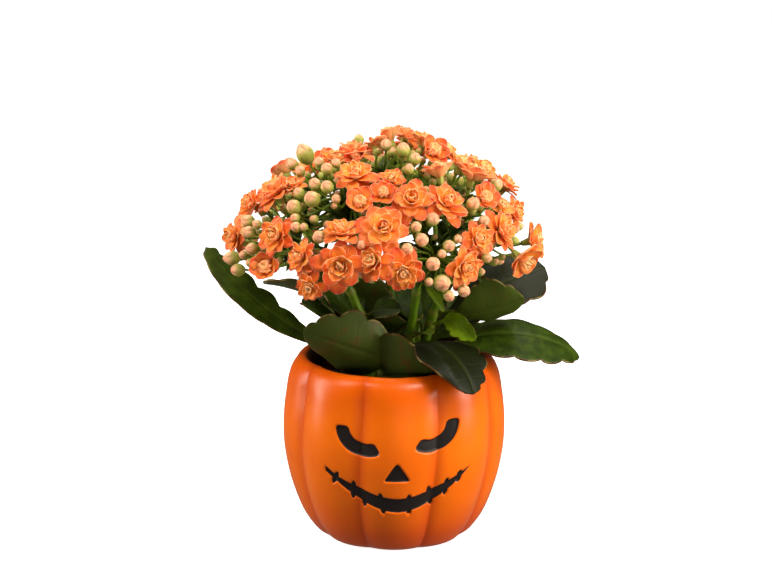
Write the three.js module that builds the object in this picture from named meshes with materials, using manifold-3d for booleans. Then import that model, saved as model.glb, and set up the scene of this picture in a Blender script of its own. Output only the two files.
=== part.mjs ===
// A potted kalanchoe: a double-flowered, orange kalanchoe in its plastic grow pot, standing
// in a pumpkin-shaped ceramic cover pot with a jack-o'-lantern face. Millimetres, +Z up.
// The origin is the middle of the cover pot's underside, and the face looks along -Y.
import * as THREE from "three";
import { mergeVertices } from "three/addons/utils/BufferGeometryUtils.js";
import Module from "manifold-3d";

// Driving dimensions

const COVER_POT = { height: 99.8, radius: 60, floor: 7, lobes: 9, groove: 4.2, carving: 1.2 };
const GROW_POT = { top: 88, bottom: 66, height: 76, wall: 1.1 };
const GAP = 0.3;
const FLOWER_GAP = 0.5;
const SOIL_TOP = 76;
const DRAIN = { bearings: [45, 135, 225, 315], out: 20, radius: 4 };
const STEM = { foot: 3.4, tip: 2.1, socket: 68, collar: 80, knee: 116, out: 12, reach: 0.45 };
const BRANCH_RADIUS = 1.3;
const PEDICEL_RADIUS = 0.75;
const HUB_RADIUS = 2.6;
const BLOOM_HEIGHT = 8;
const CUPPED_SHARE = 0.84;
const SEATED_BLOOMS = 19;
const LEAST_BUD = 1.9;
const BACK_SPACING = { bloom: 16, bud: 11 };

// The flowers cover a dome: its middle, and its radius along x, y and z.
const DOME = { middle: new THREE.Vector3(-5.5, 0, 149), radii: new THREE.Vector3(83, 74, 71) };

// The front view that the blooms are laid out in, 772 by 579 steps wide and high: where the
// eye stands, and the steps that one radian covers.
const VIEW = { azimuth: -2.2, elevation: 14.6, distance: 2000, focal: 3728, middle: [386, 289.5] };
const AIM = new THREE.Vector3(-4.2, 0, 135.5);

// Blooms in the front view: steps across, steps down, diameter in mm, and 1 for an open
// flower or 0 for a cup. The first ones are the largest and the most forward.
const BLOOMS = [
  [356, 174, 21, 1],
  [276, 190, 24, 1],
  [276, 236, 22, 1],
  [300, 257, 20, 1],
  [309, 287, 17, 1],
  [340, 265, 26, 1],
  [341, 231, 21, 1],
  [383, 228, 26, 1],
  [353, 147, 22, 1],
  [388, 136, 20, 1],
  [373, 261, 22, 1],
  [403, 272, 22, 1],
  [439, 171, 18, 1],
  [473, 175, 20, 1],
  [412, 200, 23, 1],
  [447, 203, 25, 1],
  [503, 230, 22, 1],
  [465, 267, 22, 1],
  [479, 239, 19, 1],
  [506, 184, 19, 1],
  [250, 204, 18, 1],
  [231, 237, 17, 1],
  [265, 267, 16, 0],
  [360, 201, 15, 0],
  [383, 192, 14, 0],
  [391, 178, 14, 1],
  [433, 150, 17, 0],
  [406, 132, 16, 1],
  [425, 140, 15, 1],
  [446, 149, 14, 1],
  [461, 161, 13, 0],
  [485, 168, 12, 1],
  [486, 197, 15, 0],
  [516, 212, 16, 1],
  [502, 205, 12, 1],
  [535, 240, 14, 0],
  [523, 260, 15, 0],
  [356, 155, 12, 0],
  [293, 184, 14, 1],
];

// Buds in the front view: steps across, steps down, and diameter in mm.
const BUDS = [
  [305, 154, 9.5],
  [292, 164, 6.5],
  [300, 171, 5.5],
  [319, 162, 5.5],
  [327, 169, 6.5],
  [336, 163, 5.5],
  [315, 184, 6.5],
  [327, 187, 7],
  [299, 193, 6],
  [312, 199, 8.5],
  [294, 207, 8],
  [308, 210, 4.5],
  [341, 188, 8],
  [336, 199, 5],
  [345, 204, 5],
  [377, 166, 7],
  [386, 145, 6],
  [397, 141, 6.5],
  [403, 150, 7.5],
  [415, 159, 6.5],
  [409, 169, 5.5],
  [421, 188, 6.5],
  [248, 221, 7],
  [249, 232, 6.5],
  [257, 224, 5],
  [273, 220, 5],
  [295, 218, 5],
  [296, 227, 7],
  [304, 227, 4.5],
  [319, 237, 7],
  [325, 239, 6],
  [349, 247, 9],
  [361, 245, 6],
  [222, 258, 6],
  [232, 258, 8],
  [244, 255, 5],
  [252, 249, 6.5],
  [238, 270, 7],
  [227, 267, 5],
  [292, 243, 6.5],
  [286, 259, 7],
  [312, 247, 6],
  [496, 185, 7],
  [473, 204, 7],
  [481, 210, 5],
  [433, 219, 8],
  [416, 227, 6],
  [422, 240, 7],
  [407, 249, 6.5],
  [449, 246, 6.5],
  [433, 264, 7.5],
  [442, 254, 5.5],
  [442, 283, 9],
  [464, 291, 7.5],
  [449, 296, 6],
  [460, 299, 4.5],
  [429, 282, 5.5],
  [487, 258, 6.5],
  [458, 219, 4.5],
  [484, 221, 6],
  [458, 239, 4.5],
];

// The middle stem, and the outer stems' bearings in degrees from +X towards +Y. Each outer stem
// carries an upper and a lower flower head.
const MIDDLE_STEM = [
  new THREE.Vector3(0, 1, STEM.socket),
  new THREE.Vector3(0, 1, STEM.collar),
  new THREE.Vector3(-1, 2, 125),
  new THREE.Vector3(-5, 3, 172),
];
const STEM_BEARINGS = {
  left: 175,
  front_left: -125,
  front: -62,
  right: -20,
  back_right: 42,
  back_left: 110,
};

// Leaves: the stem and the height they grow from, bearing, size as length and width, rise at the
// foot and at the tip, roll about the midrib, and cup, the height of the edges over the midrib,
// in mm and degrees. Turn is how far the bearing turns by the tip, and widest the share of the
// blade's length where it is widest.
const LEAVES = {
  left_long: {
    stem: "left", at: 98, bearing: 181, turn: -27, size: [101, 26],
    rise: [22, 53], roll: -16, cup: 1, widest: 0.55,
  },
  left_back: { stem: "back_left", at: 103, bearing: 158, size: [70, 36], rise: [44, -4], roll: 15, cup: 6 },
  left_narrow: {
    stem: "front_left", at: 119, bearing: 182, turn: -11, size: [34, 16],
    rise: [23, 34], roll: -12, cup: 1, widest: 0.74,
  },
  front_bowl: {
    stem: "front", at: 98, bearing: 223, turn: -60, size: [62, 35],
    rise: [27, 17], roll: 74, cup: 7,
  },
  front_drooping: {
    stem: "front", at: 110, bearing: -51, size: [56, 40],
    rise: [21, -73], roll: -8, cup: 1,
  },
  right_long: {
    stem: "right", at: 99, bearing: -9, turn: 26, size: [88, 41],
    rise: [33, -45], roll: 18, cup: -3, widest: 0.52,
  },
  right_upright: {
    stem: "right", at: 125, bearing: -19, turn: 23, size: [46, 38],
    rise: [2, 26], roll: -48, cup: 7, widest: 0.6,
  },
  right_back: {
    stem: "back_right", at: 107, bearing: 19, size: [78, 42],
    rise: [34, 9], roll: 24, cup: 0, widest: 0.7,
  },
  stem_front: {
    stem: "right", at: 119, bearing: -51, size: [34, 13],
    rise: [28, -48], roll: 74, cup: 4, widest: 0.58,
  },
  front_low: {
    stem: "front", at: 91, bearing: -34, turn: 16, size: [32, 24],
    rise: [6, 34], roll: -54, cup: 3,
  },
  inner_left: {
    stem: "front_left", at: 127, bearing: -8, size: [19, 15],
    rise: [24, -8], roll: 30, cup: 2,
  },
  inner_middle: {
    stem: "middle", at: 103, bearing: 262, size: [26, 22],
    rise: [60, 68], roll: -12, cup: 2,
  },
  inner_right: { stem: "front", at: 115, bearing: -52, size: [14, 12], rise: [30, 0], roll: 0, cup: 2 },
  inner_back: { stem: "middle", at: 95, bearing: 94, size: [42, 24], rise: [78, 66], roll: 0, cup: 4 },
  back_right: { stem: "back_right", at: 94, bearing: 48, size: [82, 44], rise: [30, -20], roll: 0, cup: 6 },
  back_middle: {
    stem: "back_left", at: 100, bearing: 84, size: [72, 42],
    rise: [30, -24], roll: 6, cup: 6,
  },
  back_left: { stem: "back_left", at: 93, bearing: 120, size: [76, 34], rise: [26, -8], roll: 0, cup: 6 },
  back_upper: { stem: "back_right", at: 115, bearing: 76, size: [58, 34], rise: [36, 6], roll: 0, cup: 5 },
};

// A flower head's hub, in degrees from straight up and as a share of the way out to the dome.
const HUB = { upper: 40, lower: 76, reach: 0.62 };
const LEAF_THICKNESS = { midrib: 2.2, edge: 1.1 };
const LEAF_GRID = { along: 8, across: 4 };
const PETIOLE = { share: 0.16, halfWidth: 2.2, fullFrom: 36 };

const wasm = await Module();
wasm.setup();

// Solids and geometry

function toSolid(geometry) {
  const bare = geometry.clone();
  bare.deleteAttribute("normal");
  bare.deleteAttribute("uv");
  const merged = mergeVertices(bare, 1e-3);
  const corners = merged.index.array;
  const kept = [];
  for (let i = 0; i < corners.length; i += 3) {
    const [a, b, c] = [corners[i], corners[i + 1], corners[i + 2]];
    if (a !== b && b !== c && c !== a) kept.push(a, b, c);
  }
  return new wasm.Manifold(
    new wasm.Mesh({
      numProp: 3,
      vertProperties: merged.attributes.position.array,
      triVerts: new Uint32Array(kept),
    }),
  );
}

function toGeometry(solid) {
  const mesh = solid.getMesh();
  const geometry = new THREE.BufferGeometry();
  geometry.setAttribute("position", new THREE.BufferAttribute(new Float32Array(mesh.vertProperties), 3));
  geometry.setIndex(new THREE.BufferAttribute(new Uint32Array(mesh.triVerts), 1));
  geometry.computeVertexNormals();
  return geometry;
}

// Moves every vertex of a geometry to move(x, y, z).
function reshape(geometry, move) {
  const position = geometry.attributes.position;
  const place = new THREE.Vector3();
  for (let i = 0; i < position.count; i += 1) {
    place.fromBufferAttribute(position, i);
    position.setXYZ(i, ...move(place.x, place.y, place.z));
  }
  geometry.computeVertexNormals();
  return geometry;
}

// A profile of [radius, height] points turned about Z.
function turned(profile, segments) {
  const points = profile.map(([radius, height]) => new THREE.Vector2(radius, height));
  return new THREE.LatheGeometry(points, segments).rotateX(Math.PI / 2);
}

// A tapered rod with flat ends along a curve.
function rod(curve, footRadius, tipRadius, sides, steps) {
  const frames = curve.computeFrenetFrames(steps, false);
  const straight = new THREE.CylinderGeometry(tipRadius, footRadius, 1, sides, steps);
  return reshape(straight, (x, y, z) => {
    const share = y + 0.5;
    const step = Math.round(share * steps);
    const place = curve.getPointAt(share);
    place.addScaledVector(frames.normals[step], x);
    place.addScaledVector(frames.binormals[step], -z);
    return place.toArray();
  });
}

function smooth(low, high, value) {
  const share = Math.min(1, Math.max(0, (value - low) / (high - low)));
  return share * share * (3 - 2 * share);
}

function radians(degrees) {
  return THREE.MathUtils.degToRad(degrees);
}

function bearingVector(bearing) {
  return new THREE.Vector3(Math.cos(radians(bearing)), Math.sin(radians(bearing)), 0);
}

// Cover pot: a nine-lobed pumpkin with a rolled lip, and the face carved into its front

const POT_OUTSIDE = [
  [0, 0],
  [33, 0],
  [36.4, 0.6],
  [41, 3],
  [45, 7.5],
  [48.6, 13],
  [52, 20.5],
  [56.4, 34],
  [59.4, 50],
  [60, 60],
  [59.7, 70],
  [58.6, 80],
  [56.6, 91],
  [53.4, 97.2],
  [49.4, COVER_POT.height],
];
const POT_INSIDE = [
  [46.4, 99],
  [45.4, 95],
  [48.8, 87],
  [53, 64],
  [51, 38],
  [43, 13],
  [35, COVER_POT.floor],
  [0, COVER_POT.floor],
];

// In degrees: how far the nine grooves are turned to the left at the foot, how far they turn to
// the right on their way up, and how far apart they are pushed in front, where the face is.
const GROOVES = { foot: 1.8, climb: 3.6, spread: 3.3 };

function grooveShare(x, y, height) {
  const around = Math.atan2(x, -y);
  const climbed = radians(GROOVES.climb) * smooth(10, COVER_POT.height, height);
  const turn = around + radians(GROOVES.foot) - climbed - radians(GROOVES.spread) * Math.sin(around);
  const ridge = Math.abs(Math.cos((COVER_POT.lobes / 2) * turn));
  return 1 - ridge ** 0.7;
}

function grooveDepth(height) {
  const body = COVER_POT.groove - 0.00044 * (height - COVER_POT.radius) ** 2;
  return body * (1 - 0.6 * smooth(COVER_POT.height - 15, COVER_POT.height, height));
}

// The lobed skin, moved in by inset. Points inside the flat foot keep their circle.
function lobed(profile, inset, segments) {
  return reshape(turned(profile, segments), (x, y, z) => {
    const radius = Math.hypot(x, y);
    if (radius < 1) return [x, y, z];
    const cut = grooveShare(x, y, z) * grooveDepth(z) * smooth(28, 40, radius);
    const share = (radius - cut - inset) / radius;
    return [x * share, y * share, z];
  });
}

// The face is drawn on the plane y = 0 as seen from the front, and carved straight back.
const EYES = [
  { across: -16.8, height: 74, from: 179, to: 301 },
  { across: 17.2, height: 76, from: 238, to: 362 },
];
const EYE_BAND = { outer: 15.3, inner: 9.1 };
const NOSE = { base: 46.9, top: 55.9, half: 6.1, tipHalf: 0.9 };
const MOUTH = { low: 31.6, rise: 18.5, half: 38, bend: 1.8, thick: 3.5, taper: 2.2, cornerHalf: 0.2 };
const STITCHES = { across: [-33, -23.6, -8.4, 5.8, 16.3, 25.4, 32.7], half: 1.1, tipHalf: 0.33, reach: 2.1 };

function eyeShape({ across, height, from, to }) {
  const shape = new THREE.Shape();
  shape.absarc(across, height, EYE_BAND.outer, radians(from), radians(to), false);
  shape.absarc(across, height, EYE_BAND.inner, radians(to), radians(from), true);
  return shape;
}

function noseShape() {
  const shape = new THREE.Shape();
  shape.moveTo(-NOSE.half, NOSE.base);
  shape.lineTo(NOSE.half, NOSE.base);
  shape.lineTo(NOSE.tipHalf, NOSE.top);
  shape.lineTo(-NOSE.tipHalf, NOSE.top);
  return shape;
}

function mouthLine(across) {
  return MOUTH.low + MOUTH.rise * Math.abs(across / MOUTH.half) ** MOUTH.bend;
}

function mouthHalfHeight(across) {
  return MOUTH.thick * (1 - Math.abs(across / MOUTH.half) ** MOUTH.taper) + MOUTH.cornerHalf;
}

function mouthShape() {
  const steps = 18;
  const lower = [];
  const upper = [];
  for (let i = 0; i <= steps; i += 1) {
    const across = MOUTH.half * ((2 * i) / steps - 1);
    lower.push(new THREE.Vector2(across, mouthLine(across) - mouthHalfHeight(across)));
    upper.unshift(new THREE.Vector2(across, mouthLine(across) + mouthHalfHeight(across)));
  }
  return new THREE.Shape([...lower, ...upper]);
}

// A stitch crosses the mouth at right angles to its line and comes to a point at both ends.
function stitchShape(across) {
  const share = Math.abs(across / MOUTH.half);
  const slope = (Math.sign(across) * MOUTH.bend * MOUTH.rise * share ** (MOUTH.bend - 1)) / MOUTH.half;
  const along = new THREE.Vector2(1, slope).normalize();
  const out = new THREE.Vector2(-along.y, along.x);
  const reach = mouthHalfHeight(across) + STITCHES.reach;
  const middle = new THREE.Vector2(across, mouthLine(across));
  const corner = (a, o) => middle.clone().addScaledVector(along, a).addScaledVector(out, o);
  return new THREE.Shape([
    corner(-STITCHES.half, 0),
    corner(-STITCHES.tipHalf, -reach),
    corner(STITCHES.tipHalf, -reach),
    corner(STITCHES.half, 0),
    corner(STITCHES.tipHalf, reach),
    corner(-STITCHES.tipHalf, reach),
  ]);
}

function carved(shape) {
  const block = new THREE.ExtrudeGeometry(shape, { depth: 70, bevelEnabled: false, curveSegments: 6 });
  return toSolid(block.rotateX(Math.PI / 2));
}

function coverPot() {
  const segments = 48;
  const body = toSolid(lobed([...POT_OUTSIDE, ...POT_INSIDE], 0, segments));
  const closing = [0, POT_OUTSIDE.at(-1)[1]];
  const carvedSkin = toSolid(lobed([...POT_OUTSIDE, closing], COVER_POT.carving, segments));
  let face = carved(mouthShape());
  for (const across of STITCHES.across) face = face.add(carved(stitchShape(across)));
  for (const shape of [...EYES.map(eyeShape), noseShape()]) face = face.add(carved(shape));
  return toGeometry(body.subtract(face.subtract(carvedSkin)));
}

// Grow pot: a thin tapered plastic pot with a rim band and four drain holes

function growPot() {
  const top = GROW_POT.top / 2;
  const bottom = GROW_POT.bottom / 2;
  const foot = COVER_POT.floor + GAP;
  const rim = foot + GROW_POT.height;
  const wall = GROW_POT.wall;
  const shell = turned(
    [
      [0, foot],
      [bottom, foot],
      [top - 2.4, rim - 11],
      [top - 0.6, rim - 10],
      [top, rim],
      [top - wall, rim],
      [top - 2.4 - wall, rim - 10],
      [bottom - wall, foot + wall],
      [0, foot + wall],
    ],
    32,
  );
  let pot = toSolid(shell);
  for (const bearing of DRAIN.bearings) {
    const drain = new THREE.CylinderGeometry(DRAIN.radius, DRAIN.radius, 8, 8).rotateX(Math.PI / 2);
    drain.translate(...bearingVector(bearing).multiplyScalar(DRAIN.out).setZ(foot).toArray());
    pot = pot.subtract(toSolid(drain));
  }
  return toGeometry(pot);
}

// Stems rise from the potting soil and lean out to the flower heads

function outerStemTop(bearing) {
  return bearingVector(bearing).multiplyScalar(STEM.reach).multiply(DOME.radii).add(DOME.middle);
}

// Each stem leaves the soil upright.
function outerStem(bearing) {
  const foot = bearingVector(bearing).multiplyScalar(STEM.out).setZ(STEM.socket);
  const collar = foot.clone().setZ(STEM.collar);
  const top = outerStemTop(bearing);
  const knee = foot.clone().lerp(top, 0.4).setZ(STEM.knee);
  return new THREE.CatmullRomCurve3([foot, collar, knee, top]);
}

const STEMS = { middle: new THREE.CatmullRomCurve3(MIDDLE_STEM) };
for (const [name, bearing] of Object.entries(STEM_BEARINGS)) STEMS[name] = outerStem(bearing);

function soil() {
  const foot = COVER_POT.floor + GAP + GROW_POT.wall + GAP;
  const slope = (GROW_POT.top / 2 - 2.4 - GROW_POT.bottom / 2) / (GROW_POT.height - 10);
  const bottom = GROW_POT.bottom / 2 - GROW_POT.wall - GAP;
  const brim = bottom + slope * (SOIL_TOP - foot - 8);
  const heap = turned(
    [
      [0, foot],
      [bottom - 0.6, foot],
      [brim - 0.8, SOIL_TOP - 3],
      [brim - 10, SOIL_TOP - 0.5],
      [22, SOIL_TOP + 0.8],
      [0, SOIL_TOP + 1],
    ],
    24,
  );
  let solid = toSolid(heap);
  for (const curve of Object.values(STEMS)) {
    const foot = curve.getPointAt(0);
    const radius = STEM.foot + 3 * GAP;
    const socket = new THREE.CylinderGeometry(radius, radius, 14, 8).rotateX(Math.PI / 2);
    socket.translate(foot.x, foot.y, STEM.socket - GAP + 7);
    solid = solid.subtract(toSolid(socket));
  }
  return toGeometry(solid);
}

// Leaves: a petiole that widens into an obovate, thick blade, bent along its midrib

function leafHalfWidth(leaf, share) {
  const width = leaf.size[1];
  if (share < PETIOLE.share) return PETIOLE.halfWidth * Math.min(1, width / PETIOLE.fullFrom);
  const along = (share - PETIOLE.share) / (1 - PETIOLE.share);
  const blade = Math.sin(Math.PI * along ** (Math.log(0.5) / Math.log(leaf.widest ?? 0.45))) ** 0.58;
  return (width / 2) * (Math.max(0.1 * (1 - along), Math.min(1, blade)) + 0.04);
}

// A stem's centre, direction and radius at a height.
function stemAt(stem, height) {
  let low = 0;
  let high = 1;
  while (high - low > 1e-3) {
    const middle = (low + high) / 2;
    if (STEMS[stem].getPointAt(middle).z < height) low = middle;
    else high = middle;
  }
  return {
    centre: STEMS[stem].getPointAt(low),
    along: STEMS[stem].getTangentAt(low),
    radius: THREE.MathUtils.lerp(STEM.foot, STEM.tip, low),
  };
}

// The midrib's places and directions, in equal steps from the stem's surface to the tip.
function midrib(leaf, steps) {
  const { centre, along, radius } = stemAt(leaf.stem, leaf.at);
  const out = bearingVector(leaf.bearing);
  const rise = radians(leaf.rise[0]);
  const roll = radians(leaf.roll);
  const halfThickness = (LEAF_THICKNESS.midrib / 2) * Math.cos(roll);
  const halfHeight = halfThickness + leafHalfWidth(leaf, 0) * Math.abs(Math.sin(roll));
  const lean = along.dot(out) / along.z;
  const corner = halfHeight * Math.abs(Math.sin(rise) + lean * Math.cos(rise));
  const places = [out.multiplyScalar(radius + 1.3 * GAP + corner).add(centre)];
  const directions = [];
  for (let i = 0; i <= steps; i += 1) {
    const climb = radians(leaf.rise[0] + ((leaf.rise[1] - leaf.rise[0]) * i) / steps);
    const ahead = bearingVector(leaf.bearing + ((leaf.turn ?? 0) * i) / steps);
    const direction = ahead.multiplyScalar(Math.cos(climb)).setZ(Math.sin(climb));
    directions.push(direction);
    if (i < steps) places.push(places[i].clone().addScaledVector(direction, leaf.size[0] / steps));
  }
  return { places, directions };
}

function leafGeometry(leaf) {
  const { along, across } = LEAF_GRID;
  const { places, directions } = midrib(leaf, along);
  return reshape(new THREE.BoxGeometry(1, 2, 2, along, across, 1), (x, y, z) => {
    const step = Math.round((x + 0.5) * along);
    const direction = directions[step];
    const level = bearingVector(leaf.bearing + (leaf.turn ?? 0) * (step / along) + 90);
    const side = level.applyAxisAngle(direction, radians(leaf.roll));
    const face = direction.clone().cross(side);
    const half = leafHalfWidth(leaf, step / along);
    const blade = smooth(PETIOLE.share, PETIOLE.share + 0.25, step / along);
    const thickness = THREE.MathUtils.lerp(LEAF_THICKNESS.midrib, LEAF_THICKNESS.edge, y * y);
    const place = places[step].clone().addScaledVector(side, y * half);
    place.addScaledVector(face, leaf.cup * blade * y * y + (z * thickness) / 2);
    return place.toArray();
  });
}

// Blooms and buds stand on the dome, facing out of it

const eyeBack = bearingVector(VIEW.azimuth - 90).multiplyScalar(Math.cos(radians(VIEW.elevation)));
eyeBack.setZ(Math.sin(radians(VIEW.elevation)));
const eyeRight = bearingVector(VIEW.azimuth);
const eyeUp = eyeBack.clone().cross(eyeRight);
const eye = AIM.clone().addScaledVector(eyeBack, VIEW.distance);

// The nearest place of the dome on the line of sight through a step of the front view, or the
// dome's outline where that line passes outside it.
function onDome(across, down) {
  const sight = eyeBack.clone().negate();
  sight.addScaledVector(eyeRight, (across - VIEW.middle[0]) / VIEW.focal);
  sight.addScaledVector(eyeUp, (VIEW.middle[1] - down) / VIEW.focal);
  sight.divide(DOME.radii);
  const from = eye.clone().sub(DOME.middle).divide(DOME.radii);
  const [a, b, c] = [sight.dot(sight), from.dot(sight), from.dot(from) - 1];
  const reach = (-b - Math.sqrt(Math.max(0, b * b - a * c))) / a;
  return placed(from.addScaledVector(sight, reach).normalize());
}

// A flower's place and facing from a point of the unit sphere.
function placed(unit) {
  return {
    unit,
    place: unit.clone().multiply(DOME.radii).add(DOME.middle),
    facing: unit.clone().divide(DOME.radii).normalize(),
  };
}

function turnedRound(item) {
  return { ...item, ...placed(new THREE.Vector3(-item.unit.x, -item.unit.y, item.unit.z)) };
}

// The back is the front turned half round about the dome's middle, where it's free.
function fillBack(front, taken, clearance) {
  const back = [];
  for (const item of front.filter(({ unit }) => unit.y < -0.3).map(turnedRound)) {
    const free = [...taken, ...back].every((other) => other.place.distanceTo(item.place) > clearance);
    if (free) back.push(item);
  }
  return back;
}

function flower([across, down, size, open]) {
  return { ...onDome(across, down), radius: size / 2, open };
}

const blooms = BLOOMS.map(flower);
blooms.push(...fillBack(blooms, blooms, BACK_SPACING.bloom));
const buds = BUDS.map(flower);
buds.push(...fillBack(buds, [...blooms, ...buds], BACK_SPACING.bud));

function facingTurn(facing) {
  return new THREE.Quaternion().setFromUnitVectors(new THREE.Vector3(0, 0, 1), facing);
}

function bloomFoot(bloom) {
  return bloom.place.clone().addScaledVector(bloom.facing, -BLOOM_HEIGHT);
}

// A bloom's tube, petals and crown as one solid that faces +Z, with a scalloped edge.
function bloomGeometry(bloom, sides) {
  const radius = bloom.radius * (bloom.open ? 1 : CUPPED_SHARE);
  const profile = [
    [0, 0],
    [1.6, 0],
    [2.2, 3.2],
    [radius, 6.8],
    [radius * 0.55, 9],
    [0, 9.4],
  ];
  return reshape(turned(profile, sides), (x, y, z) => {
    const petal = Math.round((Math.atan2(y, x) / (2 * Math.PI)) * sides + sides);
    const share = z > 6 && petal % 2 ? 0.86 : 1;
    return [x * share, y * share, z];
  });
}

// Flower heads: each has a hub that its flower stalks spread from

function hubPlace(bearing, polar) {
  const out = bearingVector(bearing).multiplyScalar(Math.sin(radians(polar)));
  return out.setZ(Math.cos(radians(polar))).multiplyScalar(HUB.reach).multiply(DOME.radii).add(DOME.middle);
}

const HEADS = { flower_head_top: { stem: "middle", hub: hubPlace(0, 0), lateral: false } };
for (const [stem, bearing] of Object.entries(STEM_BEARINGS)) {
  HEADS[`flower_head_upper_${stem}`] = { stem, hub: hubPlace(bearing, HUB.upper), lateral: false };
  HEADS[`flower_head_lower_${stem}`] = { stem, hub: hubPlace(bearing, HUB.lower), lateral: true };
}

function nearestHead(place) {
  const byDistance = Object.values(HEADS).sort((a, b) => a.hub.distanceTo(place) - b.hub.distanceTo(place));
  return byDistance[0];
}

// Where a head's branch leaves its stem: above the stem's tip, or beside it a little lower.
function branchFoot(head) {
  const stem = STEMS[head.stem];
  if (!head.lateral) {
    const tip = stem.getPointAt(1);
    const along = stem.getTangentAt(1);
    const lean = Math.sin(along.angleTo(head.hub.clone().sub(tip)));
    return tip.addScaledVector(along, GAP + BRANCH_RADIUS * lean);
  }
  const joint = stem.getPointAt(0.9);
  const out = head.hub.clone().sub(joint);
  const along = stem.getTangentAt(0.9);
  out.addScaledVector(along, -out.dot(along)).normalize();
  return joint.addScaledVector(out, STEM.tip + BRANCH_RADIUS + GAP + 0.2);
}

function straightRod(from, to, radius, sides) {
  return toSolid(rod(new THREE.LineCurve3(from, to), radius, radius * 0.8, sides, 1));
}

function headGeometry(head) {
  const pieces = [
    straightRod(branchFoot(head), head.hub, BRANCH_RADIUS, 5),
    toSolid(new THREE.IcosahedronGeometry(HUB_RADIUS, 0).translate(...head.hub.toArray())),
  ];
  const stalk = (tip) => {
    const foot = tip.clone().sub(head.hub).setLength(HUB_RADIUS * 0.6).add(head.hub);
    pieces.push(straightRod(foot, tip, PEDICEL_RADIUS, 3));
  };
  for (const bloom of blooms.filter((one) => one.head === head)) {
    const foot = bloomFoot(bloom);
    stalk(foot.clone().addScaledVector(bloom.facing, bloom.seated ? -0.7 : 0.6));
    if (bloom.seated) continue;
    const cup = bloomGeometry(bloom, 6).applyQuaternion(facingTurn(bloom.facing));
    pieces.push(toSolid(cup.translate(...foot.toArray())));
  }
  for (const bud of roomyBuds.filter((one) => one.head === head)) {
    stalk(bud.place);
    const ball = new THREE.IcosahedronGeometry(bud.radius, 0).translate(...bud.place.toArray());
    pieces.push(toSolid(ball));
  }
  return toGeometry(wasm.Manifold.union(pieces));
}

for (const item of [...blooms, ...buds]) item.head = nearestHead(item.place);
for (const bloom of blooms.slice(0, SEATED_BLOOMS)) bloom.seated = true;

// Neighbours make room for each other: open flowers for open flowers, then buds for both. A bud
// with too little room is left out.
function makeRoom() {
  const shares = blooms.map((bloom) => {
    const rivals = blooms.filter((other) => other !== bloom);
    const gaps = rivals.map((other) => bloom.place.distanceTo(other.place) - FLOWER_GAP);
    return Math.min(1, ...rivals.map((other, i) => gaps[i] / (bloom.radius + other.radius)));
  });
  blooms.forEach((bloom, i) => {
    bloom.radius *= shares[i];
  });
  const roomy = [];
  for (const bud of buds) {
    for (const other of [...blooms, ...roomy]) {
      bud.radius = Math.min(bud.radius, bud.place.distanceTo(other.place) - other.radius - FLOWER_GAP);
    }
    if (bud.radius >= LEAST_BUD) roomy.push(bud);
  }
  return roomy;
}

const roomyBuds = makeRoom();

// Materials, one for each finish

function finish(colour, roughness, side = THREE.FrontSide) {
  return new THREE.MeshStandardMaterial({ color: colour, roughness, metalness: 0, side });
}

const MATERIALS = {
  glaze: finish(0xe8741c, 0.42),
  plastic: finish(0x1d1d1b, 0.6),
  soil: finish(0x2b1d14, 0.95),
  stem: finish(0x4f7a1c, 0.5),
  leaf: finish(0x24400f, 0.45),
  stalk: finish(0x6d8f2c, 0.55),
  petal: finish(0xf58645, 0.6),
};

const pottedKalanchoe = new THREE.Group();
const pots = new THREE.Group();
const stemsAndLeaves = new THREE.Group();
const flowers = new THREE.Group();
pottedKalanchoe.add(pots, stemsAndLeaves, flowers);

function addPiece(group, name, geometry, material) {
  const piece = new THREE.Mesh(geometry, material);
  piece.name = name;
  group.add(piece);
  return piece;
}

addPiece(pots, "cover_pot", coverPot(), MATERIALS.glaze);
addPiece(pots, "grow_pot", growPot(), MATERIALS.plastic);
addPiece(pots, "potting_soil", soil(), MATERIALS.soil);
for (const [name, curve] of Object.entries(STEMS)) {
  addPiece(stemsAndLeaves, `stem_${name}`, rod(curve, STEM.foot, STEM.tip, 7, 8), MATERIALS.stem);
}
for (const [name, leaf] of Object.entries(LEAVES)) {
  addPiece(stemsAndLeaves, `leaf_${name}`, leafGeometry(leaf), MATERIALS.leaf);
}
for (const [name, head] of Object.entries(HEADS)) {
  addPiece(flowers, name, headGeometry(head), MATERIALS.stalk);
}
blooms.slice(0, SEATED_BLOOMS).forEach((bloom, i) => {
  const name = `bloom_${String(i + 1).padStart(2, "0")}`;
  const piece = addPiece(flowers, name, bloomGeometry(bloom, 10), MATERIALS.petal);
  piece.quaternion.copy(facingTurn(bloom.facing));
  piece.position.copy(bloomFoot(bloom));
});

export default pottedKalanchoe;
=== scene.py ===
# %% [markdown]
# # A potted kalanchoe in a pumpkin cover pot
# The plant is a double-flowered kalanchoe: thick scalloped leaves under a dome of small orange
# blooms with dozens of petals each. It stands in a plastic grow pot inside a glazed pumpkin pot
# with a face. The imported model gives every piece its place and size. This lesson gives each
# one its fine shape and its finish, in millimetres, and scales the meshes to metres at the end.

# %% The frame and the CAD box
import math
import random
from collections import namedtuple
from dataclasses import dataclass

import bmesh
import bpy
from mathutils import Matrix, Quaternion, Vector, noise


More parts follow.
